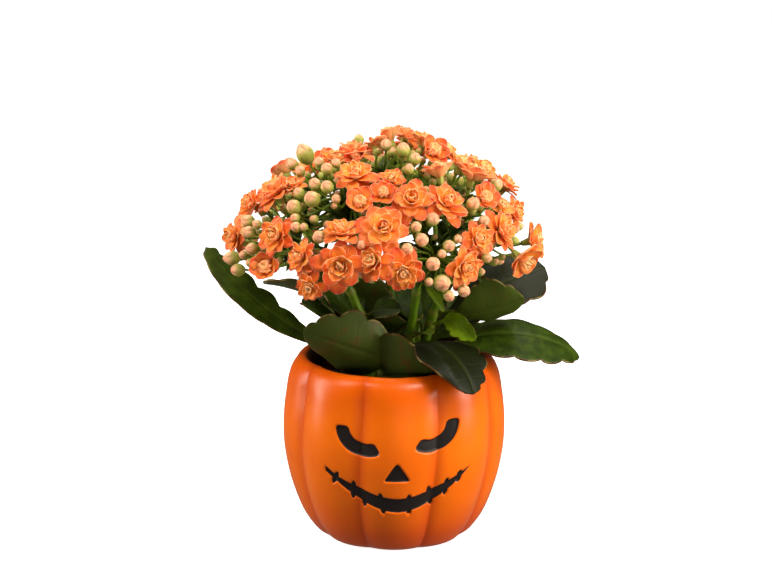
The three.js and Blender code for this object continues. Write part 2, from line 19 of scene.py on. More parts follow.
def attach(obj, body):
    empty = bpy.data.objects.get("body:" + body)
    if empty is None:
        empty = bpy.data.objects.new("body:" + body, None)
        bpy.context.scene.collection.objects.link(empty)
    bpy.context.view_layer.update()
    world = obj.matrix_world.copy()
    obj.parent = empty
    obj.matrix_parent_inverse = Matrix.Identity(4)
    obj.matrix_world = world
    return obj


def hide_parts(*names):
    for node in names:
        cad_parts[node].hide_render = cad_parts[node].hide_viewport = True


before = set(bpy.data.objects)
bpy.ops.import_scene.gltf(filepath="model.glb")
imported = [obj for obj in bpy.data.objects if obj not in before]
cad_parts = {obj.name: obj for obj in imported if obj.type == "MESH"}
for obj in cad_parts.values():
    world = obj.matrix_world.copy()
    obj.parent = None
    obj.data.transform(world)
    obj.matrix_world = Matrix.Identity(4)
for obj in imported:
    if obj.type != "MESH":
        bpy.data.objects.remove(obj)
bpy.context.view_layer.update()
MM = 0.001
print("CAD nodes:", len(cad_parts))

# %% [markdown]
# ## Looking at it
# The camera stands two metres away, a little left of the front and about 15 degrees up, with a
# long lens, as for a catalogue picture. A long lens far away keeps the pot's sides straight. It
# comes first, because the flowers are laid out in its view.

# %% The camera
# The focal length is in pixels of the picture.
PICTURE = {"width": 772, "height": 579}
VIEW = {"azimuth": -2.2, "elevation": 14.6, "distance": 2000, "focal": 3728}
SENSOR = 36
AIM = Vector((-4.2, 0, 135.5))


def bearing_vector(bearing):
    """A level direction, in degrees from +X towards +Y."""
    return Vector((math.cos(math.radians(bearing)), math.sin(math.radians(bearing)), 0))


eye_back = bearing_vector(VIEW["azimuth"] - 90) * math.cos(math.radians(VIEW["elevation"]))
eye_back.z = math.sin(math.radians(VIEW["elevation"]))
eye_right = bearing_vector(VIEW["azimuth"])
eye_up = eye_back.cross(eye_right)
eye = AIM + eye_back * VIEW["distance"]

camera = bpy.data.objects.new("camera", bpy.data.cameras.new("camera"))
camera.data.sensor_width = SENSOR
camera.data.lens = VIEW["focal"] * SENSOR / PICTURE["width"]
camera.location = eye * MM
camera.rotation_euler = (-eye_back).to_track_quat("-Z", "Y").to_euler()
camera.data.clip_end = 20
bpy.context.scene.collection.objects.link(camera)
bpy.context.scene.camera = camera
print("lens", round(camera.data.lens, 1), "mm")

# %% [markdown]
# ## Light
# A catalogue picture has a large soft lamp high on each side, a little to the front. They light
# the flowers and put highlights on the pot's shoulder, and the flowers shade the middle of the
# lip. A low soft lamp on each side lights the outer lobes, and a weak wide one in front lights
# the pot's foot. That one is hidden from reflections, or it would shine between the eyes. A
# small one on the right sharpens the highlights, and one behind lights the flowers' rim. All of
# them are a little warm.

# %% Lamps
Lamp = namedtuple("Lamp", "bearing height away size power")
LAMPS = {
    "right_top_softbox": Lamp(-58, 860, 540, (340, 380), 5.0),
    "left_top_softbox": Lamp(-150, 760, 560, (260, 380), 3.3),
    "right_softbox": Lamp(-20, 260, 700, (280, 460), 5.4),
    "left_softbox": Lamp(176, 230, 600, (220, 420), 3.1),
    "front_fill": Lamp(-80, 50, 800, (600, 200), 1.7),
    "small_lamp": Lamp(-50, 900, 620, (110, 110), 2.2),
    "back_softbox": Lamp(80, 720, 260, (420, 380), 2.8),
}
LIT_PLACE = Vector((0, 0, 100))
WARM_WHITE = (1.0, 0.94, 0.82)


def add_lamp(name, lamp):
    """A rectangular softbox, in mm, that faces the middle of the plant."""
    light = bpy.data.lights.new(name, "AREA")
    light.shape = "RECTANGLE"
    light.size, light.size_y = lamp.size[0] * MM, lamp.size[1] * MM
    light.energy = lamp.power
    light.color = WARM_WHITE
    holder = bpy.data.objects.new(name, light)
    place = bearing_vector(lamp.bearing) * lamp.away + Vector((0, 0, lamp.height))
    holder.location = place * MM
    holder.rotation_euler = (place - LIT_PLACE).to_track_quat("Z", "Y").to_euler()
    bpy.context.scene.collection.objects.link(holder)


for name, lamp in LAMPS.items():
    add_lamp(name, lamp)
bpy.data.objects["front_fill"].visible_glossy = False
print("lamps", len(LAMPS))

# %% [markdown]
# A white table throws light up at what stands on it. The floor here is only there for the
# camera: it is hidden from the rays that light the object and from its reflections, and the
# world shines from below in its place.

# %% World and floor
SKY_LIGHT = {"From Min": -0.3, "From Max": 0.1, "To Min": 0.24, "To Max": 0.03}
FLOOR_HALF = 6

world = bpy.data.worlds.new("studio")
world.use_nodes = True
sky = world.node_tree.nodes["Background"]
direction = world.node_tree.nodes.new("ShaderNodeTexCoord")
upward = world.node_tree.nodes.new("ShaderNodeSeparateXYZ")
from_below = world.node_tree.nodes.new("ShaderNodeMapRange")
world.node_tree.links.new(direction.outputs["Generated"], upward.inputs[0])
world.node_tree.links.new(upward.outputs["Z"], from_below.inputs["Value"])
world.node_tree.links.new(from_below.outputs["Result"], sky.inputs["Strength"])
for name, value in SKY_LIGHT.items():
    from_below.inputs[name].default_value = value
sky.inputs["Color"].default_value = (*WARM_WHITE, 1)
bpy.context.scene.world = world
bpy.context.scene.view_settings.view_transform = "Standard"

floor_form = bmesh.new()
bmesh.ops.create_grid(floor_form, x_segments=1, y_segments=1, size=FLOOR_HALF)
floor_mesh = bpy.data.meshes.new("floor")
floor_form.to_mesh(floor_mesh)
floor_form.free()
floor = bpy.data.objects.new("floor", floor_mesh)
bpy.context.scene.collection.objects.link(floor)
floor.visible_diffuse = False
floor.visible_glossy = False
print("floor", 2 * FLOOR_HALF, "m wide")

# %% [markdown]
# ## Writing a finish
# A finish is a node material. Wiring dozens of nodes by hand is hard to read, so a small class
# holds an output socket and lets Python's own operators add the Math nodes: `1 - mask` becomes a
# Subtract node. Every other node comes from one method.


# %% Sockets that do sums
class Wire:
    """An output of a finish's node. Sums on it add Math nodes."""

    def __init__(self, finish, socket):
        self.finish = finish
        self.socket = socket

    def maths(self, operation, *inputs):
        settings = {"operation": operation}
        return self.finish.node("ShaderNodeMath", settings, dict(enumerate(inputs)))

    def __add__(self, other):
        return self.maths("ADD", self, other)

    def __sub__(self, other):
        return self.maths("SUBTRACT", self, other)

    def __rsub__(self, other):
        return self.maths("SUBTRACT", other, self)

    def __mul__(self, other):
        return self.maths("MULTIPLY", self, other)

    def __abs__(self):
        return self.maths("ABSOLUTE", self)

    __radd__ = __add__
    __rmul__ = __mul__


# %% A finish
# A Mix node has sockets for numbers, vectors and colours. These are the ones for colours.
MIX_SHARE, MIX_FIRST, MIX_SECOND, MIX_RESULT = 0, 6, 7, 2


class Finish:
    """A material with one Principled shader."""

    def __init__(self, name, constants):
        self.material = bpy.data.materials.new(name)
        self.material.use_nodes = True
        self.tree = self.material.node_tree
        self.shader = self.tree.nodes["Principled BSDF"]
        for socket, value in constants.items():
            self.shader.inputs[socket].default_value = value

    def feed(self, socket, value):
        """Links a wire to a socket, or sets a plain value on it."""
        if isinstance(value, Wire):
            self.tree.links.new(value.socket, socket)
        else:
            socket.default_value = value

    def node(self, kind, settings, inputs, output=0):
        """Any node: its type, its settings, what its sockets get, and the output to use."""
        made = self.tree.nodes.new(kind)
        for name, value in settings.items():
            setattr(made, name, value)
        for key, value in inputs.items():
            self.feed(made.inputs[key], value)
        return Wire(self, made.outputs[output])

    def larger(self, first, second):
        """The larger of two numbers."""
        return self.node("ShaderNodeMath", {"operation": "MAXIMUM"}, {0: first, 1: second})

    def mix(self, share, first, second):
        """first where share is 0 and second where it is 1, both colours."""
        inputs = {MIX_SHARE: share, MIX_FIRST: first, MIX_SECOND: second}
        return self.node("ShaderNodeMix", {"data_type": "RGBA"}, inputs, MIX_RESULT)

    def smooth(self, value, low, high):
        """0 up to low, 1 from high, and a soft step between."""
        settings = {"interpolation_type": "SMOOTHSTEP"}
        inputs = {"Value": value, "From Min": low, "From Max": high}
        return self.node("ShaderNodeMapRange", settings, inputs)

    def own(self, name):
        """A number stored on the piece's vertices."""
        return self.node("ShaderNodeAttribute", {"attribute_name": name}, {}, "Fac")

    def place(self, stretch=(1, 1, 1)):
        """The place on the piece, in metres, with each axis stretched."""
        where = self.node("ShaderNodeTexCoord", {}, {}, "Object")
        return self.node("ShaderNodeMapping", {}, {"Vector": where, "Scale": stretch})

    def clouds(self, grain, stretch=(1, 1, 1), detail=3.0, roughness=0.5):
        """Soft noise whose lumps are about grain mm wide."""
        inputs = {"Vector": self.place(stretch), "Scale": 1 / (grain * MM), "Detail": detail}
        return self.node("ShaderNodeTexNoise", {}, {**inputs, "Roughness": roughness})

    def bump(self, height, depth):
        """Lets height, from 0 to 1, tilt the surface as if it were depth mm deep."""
        inputs = {"Height": height, "Distance": depth * MM}
        self.feed(self.shader.inputs["Normal"], self.node("ShaderNodeBump", {}, inputs))

    def surface(self, colour, roughness):
        """Feeds the two that every finish varies, and returns the material."""
        self.feed(self.shader.inputs["Base Color"], colour)
        self.feed(self.shader.inputs["Roughness"], roughness)
        return self.material


# %% [markdown]
# Colours are chosen as a screen shows them, and a shader works with the light they stand for,
# so a short function converts them. The table is the first finish. It is nearly white and
# faintly uneven, and it glows, as the real one was lit until it came out white.

# %% Screen colours
def colour(red, green, blue):
    """A screen colour, 0 to 255, as the light it stands for."""

    def light(value):
        share = value / 255
        return share / 12.92 if share <= 0.04045 else ((share + 0.055) / 1.055) ** 2.4

    return (light(red), light(green), light(blue), 1)


# %% The white table
table = Finish("white_table", {"Specular IOR Level": 0.1, "Emission Strength": 0.92})
table.shader.inputs["Emission Color"].default_value = (1, 1, 1, 1)
table_white = table.mix(table.clouds(90), (0.9, 0.9, 0.9, 1), (0.93, 0.93, 0.92, 1))
floor_mesh.materials.append(table.surface(table_white, 0.7))
print("table finish nodes", len(table.tree.nodes))

# %% [markdown]
# ## Shaping by formula
# Petals, leaves, stalks and buds all start as a plain form made by a few operators: a flat slab,
# a rod or a ball with enough faces. A copy of the form is added, and a formula moves each of its
# vertices to its place. So one small form makes nearly two thousand petals, each of them different.


# %% Plain forms
def slab_form(along, across, layers):
    """A closed slab: x from 0 to 1, y from -1 to 1, and z in layers from -1 to 1."""
    form = bmesh.new()
    bmesh.ops.create_grid(form, x_segments=along, y_segments=across, size=1)
    for vertex in form.verts:
        vertex.co.x = (vertex.co.x + 1) / 2
    bmesh.ops.translate(form, verts=form.verts, vec=(0, 0, -1))
    top = list(form.faces)
    for _ in range(layers):
        grown = bmesh.ops.extrude_face_region(form, geom=top)["geom"]
        top = [item for item in grown if isinstance(item, bmesh.types.BMFace)]
        corners = [item for item in grown if isinstance(item, bmesh.types.BMVert)]
        bmesh.ops.translate(form, verts=corners, vec=(0, 0, 2 / layers))
    return keep_form(form, "slab")


def rod_form(sides, steps):
    """A closed rod of radius 1 about z, from 0 to 1."""
    form = bmesh.new()
    bmesh.ops.create_cone(form, cap_ends=True, segments=sides, radius1=1, radius2=1, depth=1)
    bmesh.ops.translate(form, verts=form.verts, vec=(0, 0, 0.5))
    upright = [edge for edge in form.edges if abs(edge.verts[0].co.z - edge.verts[1].co.z) > 0.5]
    bmesh.ops.subdivide_edges(form, edges=upright, cuts=steps - 1)
    return keep_form(form, "rod")


def ball_form(around, rings):
    """A ball of radius 1."""
    form = bmesh.new()
    bmesh.ops.create_uvsphere(form, u_segments=around, v_segments=rings, radius=1)
    return keep_form(form, "ball")


def keep_form(form, name):
    """Turns a form's faces outwards and keeps it as a mesh."""
    bmesh.ops.recalc_face_normals(form, faces=form.faces)
    mesh = bpy.data.meshes.new(f"{name}_form")
    form.to_mesh(mesh)
    form.free()
    return mesh


# %% Building a piece from forms
# Corners closer than these, in mm, are merged in a finished piece and along a spun seam.
PIECE_WELD, SEAM_WELD = 1e-4, 1e-3


class Builder:
    """A mesh in the making, in mm. Numbers that its finish reads are stored on its vertices."""

    def __init__(self, *marks):
        self.mesh = bmesh.new()
        self.marks = {mark: self.mesh.verts.layers.float.new(mark) for mark in marks}

    def add(self, form, move, skin=0):
        """Adds a form, with each vertex where move(x, y, z) says: its place, then its marks."""
        first, first_face = len(self.mesh.verts), len(self.mesh.faces)
        self.mesh.from_mesh(form)
        self.mesh.verts.ensure_lookup_table()
        self.mesh.faces.ensure_lookup_table()
        for vertex in self.mesh.verts[first:]:
            place, marks = move(*vertex.co)
            vertex.co = place
            for mark, value in marks.items():
                vertex[self.marks[mark]] = value
        for face in self.mesh.faces[first_face:]:
            face.smooth = True
            face.material_index = skin

    def piece(self, name, finishes, slot, *nodes):
        """Ends the mesh as a piece in metres that stands for these nodes."""
        bmesh.ops.remove_doubles(self.mesh, verts=self.mesh.verts, dist=PIECE_WELD)
        bmesh.ops.scale(self.mesh, verts=self.mesh.verts, vec=(MM, MM, MM))
        mesh = bpy.data.meshes.new(name)
        self.mesh.to_mesh(mesh)
        self.mesh.free()
        for finish in finishes:
            mesh.materials.append(finish)
        piece = bpy.data.objects.new(name, mesh)
        bpy.context.scene.collection.objects.link(piece)
        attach(piece, "root")
        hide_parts(*nodes)
        return piece


def triangles(piece):
    """How many triangles a piece has."""
    return sum(len(polygon.vertices) - 2 for polygon in piece.data.polygons)


# %% Blending numbers
def smooth(low, high, value):
    """0 up to low, 1 from high, and a soft step between."""
    share = min(1, max(0, (value - low) / (high - low)))
    return share * share * (3 - 2 * share)


def lerp(first, second, share):
    """From first, where share is 0, to second, where it is 1."""
    return first + (second - first) * share


# %% [markdown]
# ## Curves
# Stems and midribs follow smooth lines through a few points. The line is cut into short steps
# once, and then any share of its length can be looked up.


# %% A smooth line
class Line:
    """A smooth line through points, looked up by its share of the length."""

    def __init__(self, points, steps=24):
        ends = [2 * points[0] - points[1], *points, 2 * points[-1] - points[-2]]
        self.places = [points[0]]
        for a, b, c, d in zip(ends, ends[1:], ends[2:], ends[3:]):
            self.places += [self.between(a, b, c, d, i / steps) for i in range(1, steps + 1)]
        self.lengths = [0]
        for a, b in zip(self.places, self.places[1:]):
            self.lengths.append(self.lengths[-1] + (b - a).length)

    @staticmethod
    def between(a, b, c, d, share):
        """A step from b to c, with the speeds that keep uneven points smooth."""
        pairs = ((a, b), (b, c), (c, d))
        before, here, after = (max(1e-3, (end - start).length) ** 0.5 for start, end in pairs)
        leave = ((b - a) / before - (c - a) / (before + here) + (c - b) / here) * here
        reach = ((c - b) / here - (d - b) / (here + after) + (d - c) / after) * here
        square, cube = share**2, share**3
        return (
            (2 * cube - 3 * square + 1) * b
            + (cube - 2 * square + share) * leave
            + (3 * square - 2 * cube) * c
            + (cube - square) * reach
        )

    def at(self, share):
        """The place and the direction at a share of the length."""
        wanted = min(1, max(0, share)) * self.lengths[-1]
        low, high = 0, len(self.lengths) - 1
        while high - low > 1:
            middle = (low + high) // 2
            low, high = (middle, high) if self.lengths[middle] <= wanted else (low, middle)
        ahead = self.places[high] - self.places[low]
        step = (wanted - self.lengths[low]) / (self.lengths[high] - self.lengths[low])
        return self.places[low] + ahead * step, ahead.normalized()


def frames_along(line, steps):
    """The line's places with two sideways directions each, turned as little as can be."""
    place, along = line.at(0)
    side = along.orthogonal().normalized()
    frames = []
    for i in range(steps + 1):
        place, ahead = line.at(i / steps)
        side = along.rotation_difference(ahead) @ side
        along = ahead
        frames.append((place, side, along.cross(side)))
    return frames


def add_rod(builder, form, steps, line, radius, marks=None, skin=0):
    """A rod along a line. radius(share, around) gives its thickness."""
    frames = frames_along(line, steps)

    def move(x, y, z):
        place, side, up = frames[round(z * steps)]
        thick = radius(z, math.atan2(y, x))
        return place + (side * x + up * y) * thick, {**(marks or {}), "along": z}

    builder.add(form, move, skin)


# %% [markdown]
# ## The pumpkin pot
# The real pot is slip-cast earthenware: nine soft lobes with creases between them, a rolled lip
# and a face pressed a millimetre deep, all under a satin orange glaze. A cut with a sharp cutter
# would give hard edges. Here the wall is spun from its profile with very fine steps in front, and
# each vertex is pushed in by its distance from the face's outline, which rounds every edge.

# %% The pot's profile
POT = {"height": 99.8, "widest_at": 60, "floor": 7, "lobes": 9, "groove": 4.2, "carving": 1.2}
POT_OUTSIDE = [
    (33, 0), (36.4, 0.6), (41, 3), (45, 7.5), (48.6, 13), (52, 20.5), (56.4, 34), (59.4, 50),
    (60, 60), (59.7, 70), (58.6, 80), (56.6, 91), (53.4, 97.2), (49.4, POT["height"]),
]
POT_INSIDE = [(46.4, 99), (45.4, 95), (48.8, 87), (53, 64), (51, 38), (43, 13), (35, POT["floor"])]
FOOT_RINGS, FLOOR_RINGS = (0, 20), (35, 18, 0)
LIP = {"from": 88, "top_band": 0.4}

# In degrees: how far the creases are turned to the left at the foot, how far they turn to the
# right on their way up, and how far apart they are pushed in front, where the face is.
CREASES = {"foot": 1.8, "climb": 3.6, "spread": 3.3}
CREASE_SOFTNESS = 0.05
FACE_BAND = {"low": 26, "high": 92, "half_angle": 62}
FINE, MIDDLING, COARSE = 0.5, 1.2, 2.6
GROOVE_FADE = {"off_middle": 0.00044, "at_lip": 0.6, "lip_band": 15}


def pot_profile():
    """The profile's points, close together where the face is."""
    wall = Line([Vector((radius, 0, height)) for radius, height in POT_OUTSIDE + POT_INSIDE])
    points = [Vector((radius, 0, 0)) for radius in FOOT_RINGS]
    reach = 0
    rising = True
    while reach < wall.lengths[-1]:
        place = wall.at(reach / wall.lengths[-1])[0]
        place.z = max(0, place.z)
        points.append(place)
        rising = rising and place.z < POT["height"] - LIP["top_band"]
        in_face = rising and FACE_BAND["low"] < place.z < FACE_BAND["high"]
        reach += FINE if in_face else MIDDLING if place.z > LIP["from"] or rising else COARSE
    return [*points, *(Vector((radius, 0, POT["floor"])) for radius in FLOOR_RINGS)]


def groove_share(around, height):
    """1 in the crease between two lobes, 0 on a lobe."""
    climbed = CREASES["climb"] * smooth(10, POT["height"], height)
    turn = around + math.radians(CREASES["foot"] - climbed - CREASES["spread"] * math.sin(around))
    ridge = math.hypot(math.cos(POT["lobes"] / 2 * turn), CREASE_SOFTNESS)
    return 1 - min(1, ridge) ** 0.7


def groove_depth(height):
    """How deep the creases are: deepest at the widest ring, and shallow at the lip."""
    body = POT["groove"] - GROOVE_FADE["off_middle"] * (height - POT["widest_at"]) ** 2
    near_lip = smooth(POT["height"] - GROOVE_FADE["lip_band"], POT["height"], height)
    return body * (1 - GROOVE_FADE["at_lip"] * near_lip)


print("profile points", len(pot_profile()))


# %% The face's measures
EYES = [
    {"across": -17.2, "height": 74.2, "from": 177, "to": 301},
    {"across": 17.2, "height": 76.4, "from": 236, "to": 366},
]
EYE_BAND = {"outer": 15.8, "inner": 8.5, "corner": 2.4}
NOSE = {"across": -0.6, "base": 45.5, "top": 58.2, "half": 7.4, "corner": 1.4, "tip": 1.5}
MOUTH = {"low": 31.4, "rise": 18.5, "half": 38.4, "bend": 1.8, "thick": 3.8, "taper": 2.2}
MOUTH_ENDS = {"left": 1.6, "right": 0.4}
Stitch = namedtuple("Stitch", "across lean above below")
STITCHES = [
    Stitch(-33, 0.34, 1.9, 2.4), Stitch(-23.6, 0, 2.3, 2.5), Stitch(-17.4, 0, -2, 2.6),
    Stitch(-8.6, -0.18, 2.2, 3.0), Stitch(5.8, 0, 1.9, 3.4), Stitch(16.9, -0.1, 2.4, 1.9),
    Stitch(25.8, 0.2, 2.3, 2.7), Stitch(32.9, 0.3, 2.1, 2.2),
]
STITCH = {"half": 1.45, "taper": 0.62, "corner": 0.4}
print("stitches", len(STITCHES))


# %% Distances from the outline
def rounded(a, b, corner):
    """The distance from a corner whose two sides are a and b away."""
    return math.hypot(max(a + corner, 0), max(b + corner, 0)) - corner + min(max(a, b) + corner, 0)


def eye_distance(eye, x, z):
    dx, dz = x - eye["across"], z - eye["height"]
    reach = math.hypot(dx, dz)
    middle, half = (eye["from"] + eye["to"]) / 2, (eye["to"] - eye["from"]) / 2
    angle = (math.degrees(math.atan2(dz, dx)) - middle + 180) % 360 - 180
    past_end = math.radians(abs(angle) - half) * reach
    band_middle = (EYE_BAND["outer"] + EYE_BAND["inner"]) / 2
    band_half = (EYE_BAND["outer"] - EYE_BAND["inner"]) / 2
    return rounded(abs(reach - band_middle) - band_half, past_end, EYE_BAND["corner"])


def nose_distance(x, z):
    slope = Vector((NOSE["top"] - NOSE["base"], NOSE["half"])).normalized()
    beside = math.hypot(x - NOSE["across"], NOSE["tip"]) - NOSE["half"]
    side = slope.x * beside + slope.y * (z - NOSE["base"])
    return rounded(side, NOSE["base"] - z, NOSE["corner"])


def mouth_line(x):
    """The height, the slope and the half height of the mouth at x."""
    share = min(1, abs(x) / MOUTH["half"])
    slope = MOUTH["bend"] * MOUTH["rise"] * share ** (MOUTH["bend"] - 1) / MOUTH["half"]
    end = MOUTH_ENDS["left" if x < 0 else "right"]
    half = max(end, MOUTH["thick"] * (1 - share ** MOUTH["taper"]) + MOUTH_ENDS["right"])
    return MOUTH["low"] + MOUTH["rise"] * share ** MOUTH["bend"], math.copysign(slope, x), half


def stitch_distance(stitch, x, z):
    """The distance from a short stroke across the mouth that narrows to both ends."""
    height, _, half = mouth_line(stitch.across)
    upward = Vector((stitch.lean, 1)).normalized()
    step = Vector((x - stitch.across, z - height))
    beside, over = step.dot(Vector((upward.y, -upward.x))), step.dot(upward)
    reach = half + (stitch.above if over > 0 else stitch.below)
    taper = STITCH["taper"] * smooth(half - 0.01, max(half, reach), abs(over))
    width = STITCH["half"] * (1 - taper)
    return rounded(abs(beside) - width, abs(over) - reach, STITCH["corner"])


def face_distance(x, z):
    """How far, in mm, a place is outside the face's outline."""
    height, slope, half = mouth_line(x)
    mouth = max((abs(z - height) - half) / math.hypot(1, slope), abs(x) - MOUTH["half"])
    distances = [mouth, nose_distance(x, z), *(eye_distance(eye, x, z) for eye in EYES)]
    return min(*distances, *(stitch_distance(stitch, x, z) for stitch in STITCHES))


# %% Spinning a profile
def add_spun(builder, profile, start, angle, steps):
    """Spins a profile, given in the plane of x and z, about z."""
    turn = Matrix.Rotation(math.radians(start), 3, "Z")
    corners = [builder.mesh.verts.new(turn @ point) for point in profile]
    edges = [builder.mesh.edges.new(pair) for pair in zip(corners, corners[1:])]
    bmesh.ops.spin(
        builder.mesh, geom=corners + edges, cent=(0, 0, 0), axis=(0, 0, 1),
        angle=math.radians(angle), steps=steps, use_merge=False,
    )


def close_up(builder):
    """Merges seams and poles, and turns the faces outwards."""
    bmesh.ops.remove_doubles(builder.mesh, verts=builder.mesh.verts, dist=SEAM_WELD)
    bmesh.ops.recalc_face_normals(builder.mesh, faces=builder.mesh.faces)
    for face in builder.mesh.faces:
        face.smooth = True


# %% Carving the pot
FAR = 9
EDGE = {"outside": 0.45, "inside": -0.75}
FRONT_STEPS, BACK_STEPS = 250, 90
# Where painted shade darkens the inner wall: the height it starts at, the half width of its soft
# border, and its border radius at the lip and at the lip's top, in mm.
PAINTED_INSIDE_SHADE = {"from": 30, "half_border": 0.6, "lip": 50.5, "lip_top": 47.4}


def in_wall(height):
    """A radius between the outside and the inside of the wall, below the lip."""
    return 44 + 0.14 * height


def painted_inside_shade_share(radius, height):
    """1 on the inner wall below the lip, where painted shade darkens the glaze, and 0 outside."""
    if height <= PAINTED_INSIDE_SHADE["from"]:
        return 0
    lip_border = lerp(PAINTED_INSIDE_SHADE["lip"], PAINTED_INSIDE_SHADE["lip_top"], smooth(95, 99, height))
    border = lip_border if height > LIP["from"] else in_wall(height)
    return smooth(border + PAINTED_INSIDE_SHADE["half_border"], border - PAINTED_INSIDE_SHADE["half_border"], radius)


pot = Builder("face_distance", "groove", "inside")
half_front = FACE_BAND["half_angle"]
add_spun(pot, pot_profile(), -90 - half_front, 2 * half_front, FRONT_STEPS)
add_spun(pot, pot_profile(), -90 + half_front, 360 - 2 * half_front, BACK_STEPS)
close_up(pot)
for vertex in pot.mesh.verts:
    x, y, z = vertex.co
    radius = math.hypot(x, y)
    vertex[pot.marks["face_distance"]] = FAR
    if radius < 1:
        continue
    share = groove_share(math.atan2(x, -y), z)
    fade = smooth(28, 40, radius)
    outward = Vector((x, y, 0)) / radius
    moved = outward * (radius - share * groove_depth(z) * fade)
    # How much painted shade darkens the inner wall at this vertex.
    vertex[pot.marks["inside"]] = painted_inside_shade_share(radius, z)
    if radius > in_wall(z) and y < 0 and FACE_BAND["low"] < z < FACE_BAND["high"]:
        distance = face_distance(moved.x, z)
        pressed = 1 - smooth(EDGE["inside"], EDGE["outside"], distance)
        moved -= outward * POT["carving"] * pressed
        vertex[pot.marks["face_distance"]] = min(FAR, distance)
    # The crease share, which the finish also reads to paint shade into the creases.
    vertex[pot.marks["groove"]] = share * fade
    vertex.co = Vector((moved.x, moved.y, z))
print("pot vertices", len(pot.mesh.verts))

# %% [markdown]
# ## Orange glaze and black paint
# The glaze is sprayed, so its colour hardly varies. Painted shade darkens it in the creases and
# under the lip, and makes it darker and redder towards the foot, and fine upright brush lines break
# up the highlights. The inner wall is painted dark, as painted shade. The paint is brushed into the
# pressed face: it ends at the outline, which the stored distance gives exactly.

# %% The pot's finish
glaze = Finish("orange_glaze", {"IOR": 1.48, "Specular IOR Level": 0.3})
brush_lines = glaze.clouds(1.6, stretch=(1, 1, 0.06), detail=4.0, roughness=0.65)
broad = glaze.clouds(34)
# Painted shade: the creases, the band under the lip and the foot are darkened where shade falls on
# the pot, and the foot is also made redder.
painted_crease_shade = glaze.smooth(glaze.own("groove"), 0.35, 1.0)
height = glaze.node("ShaderNodeSeparateXYZ", {}, {"Vector": glaze.place()}, "Z")
painted_foot_shade = glaze.smooth(height, 0.034, 0.0)
painted_lip_shade = glaze.smooth(height, 0.068, 0.094)
body = glaze.mix(glaze.smooth(broad, 0.3, 0.7), colour(242, 112, 4), colour(234, 102, 2))
body = glaze.mix(painted_foot_shade * 0.6, body, colour(206, 50, 14))
body = glaze.mix(painted_lip_shade * 0.55, body, colour(206, 72, 0))
body = glaze.mix(painted_crease_shade * 0.6, body, colour(192, 60, 0))
# Painted shade: the inner wall is made nearly black, as the shade inside the pot.
body = glaze.mix(glaze.own("inside") * 0.92, body, colour(44, 20, 8))
paint = 1 - glaze.smooth(glaze.own("face_distance"), -0.22, 0.02)
streaks = glaze.clouds(1.3, stretch=(0.25, 1, 1), detail=4.0)
black = glaze.mix(streaks, colour(22, 17, 17), colour(36, 30, 29))
glaze.bump(brush_lines * (0.35 - 0.35 * paint) + streaks * paint, 0.1)
glaze.surface(glaze.mix(paint, body, black), 0.24 + brush_lines * 0.16 + paint * 0.14)
cover_pot = pot.piece("pumpkin_cover_pot", [glaze.material], "glaze", "cover_pot")
print("pot triangles", triangles(cover_pot))

# %% [markdown]
# ## Grow pot and soil
# Inside stands the thin plastic pot that the plant was raised in, filled with peat. Little of it
# shows past the leaves, but it is there from above. The pot is spun with a round rim, and four
# drain holes are cut through its floor. The soil is a spun disc that noise roughens, with chips
# of bark lying on it.

# %% The grow pot's shell
GROW_POT = {"top": 44, "bottom": 33, "height": 76, "wall": 1.1, "foot": 7.3}
GROW_STEPS = 96


def grow_pot_profile():
    """Up the outside with its rim band, over the rim, and down the inside."""
    top, bottom, foot, wall = (GROW_POT[key] for key in ("top", "bottom", "foot", "wall"))
    rim = foot + GROW_POT["height"]
    return [
        Vector((radius, 0, height))
        for radius, height in (
            (0, foot), (bottom - 1, foot), (bottom, foot + 0.6), (top - 2.4, rim - 11),
            (top - 0.7, rim - 10.2), (top, rim - 0.6), (top - 0.3, rim), (top - wall + 0.3, rim),
            (top - wall, rim - 0.6), (top - 1.5 - wall, rim - 9), (top - 2.6 - wall, rim - 11),
            (bottom - wall, foot + wall), (0, foot + wall),
        )
    ]


grow = Builder()
add_spun(grow, grow_pot_profile(), 0, 360, GROW_STEPS)
close_up(grow)

plastic = Finish("black_plastic", {"Specular IOR Level": 0.4})
scuffs = plastic.clouds(3, detail=4.0)
plastic.bump(scuffs, 0.03)
plastic.surface(plastic.mix(scuffs, colour(24, 24, 23), colour(38, 37, 35)), 0.5 + scuffs * 0.15)
grow_pot = grow.piece("plastic_grow_pot", [plastic.material], "plastic", "grow_pot")

# %% Its drain holes
DRAINS = {"bearings": [45, 135, 225, 315], "out": 20, "radius": 4, "depth": 8, "sides": 24}

drains = Builder()
for bearing in DRAINS["bearings"]:
    place = bearing_vector(bearing) * DRAINS["out"] + Vector((0, 0, GROW_POT["foot"]))
    bmesh.ops.create_cone(
        drains.mesh, cap_ends=True, segments=DRAINS["sides"], radius1=DRAINS["radius"] * MM,
        radius2=DRAINS["radius"] * MM, depth=DRAINS["depth"] * MM,
        matrix=Matrix.Translation(place * MM),
    )
cutter_mesh = bpy.data.meshes.new("drains")
drains.mesh.to_mesh(cutter_mesh)
drains.mesh.free()
cutter = bpy.data.objects.new("drains", cutter_mesh)
bpy.context.scene.collection.objects.link(cutter)
cut = grow_pot.modifiers.new("drains", "BOOLEAN")
cut.object = cutter
cut.solver = "EXACT"
bpy.context.view_layer.update()
with_modifiers = grow_pot.evaluated_get(bpy.context.evaluated_depsgraph_get())
cut_mesh = bpy.data.meshes.new_from_object(with_modifiers)
grow_pot.modifiers.clear()
grow_pot.data = cut_mesh
bpy.data.objects.remove(cutter)
print("grow pot triangles", triangles(grow_pot))

# %% The soil
SOIL = {"top": 76, "foot": 8.7, "bottom": 31, "brim": 39.2, "grain": 5, "lumps": 1.1}
SOIL_DROP = {"brim": 3, "crown": 2}
WALL_STEPS, SOIL_RINGS, SOIL_SECTORS = 6, 40, 110
CHIPS = {"count": 90, "within": 0.93}
SEEDS = {"soil": 7, "flowers": 5, "stalks": 23, "blooms": 11}
chance = random.Random(SEEDS["soil"])


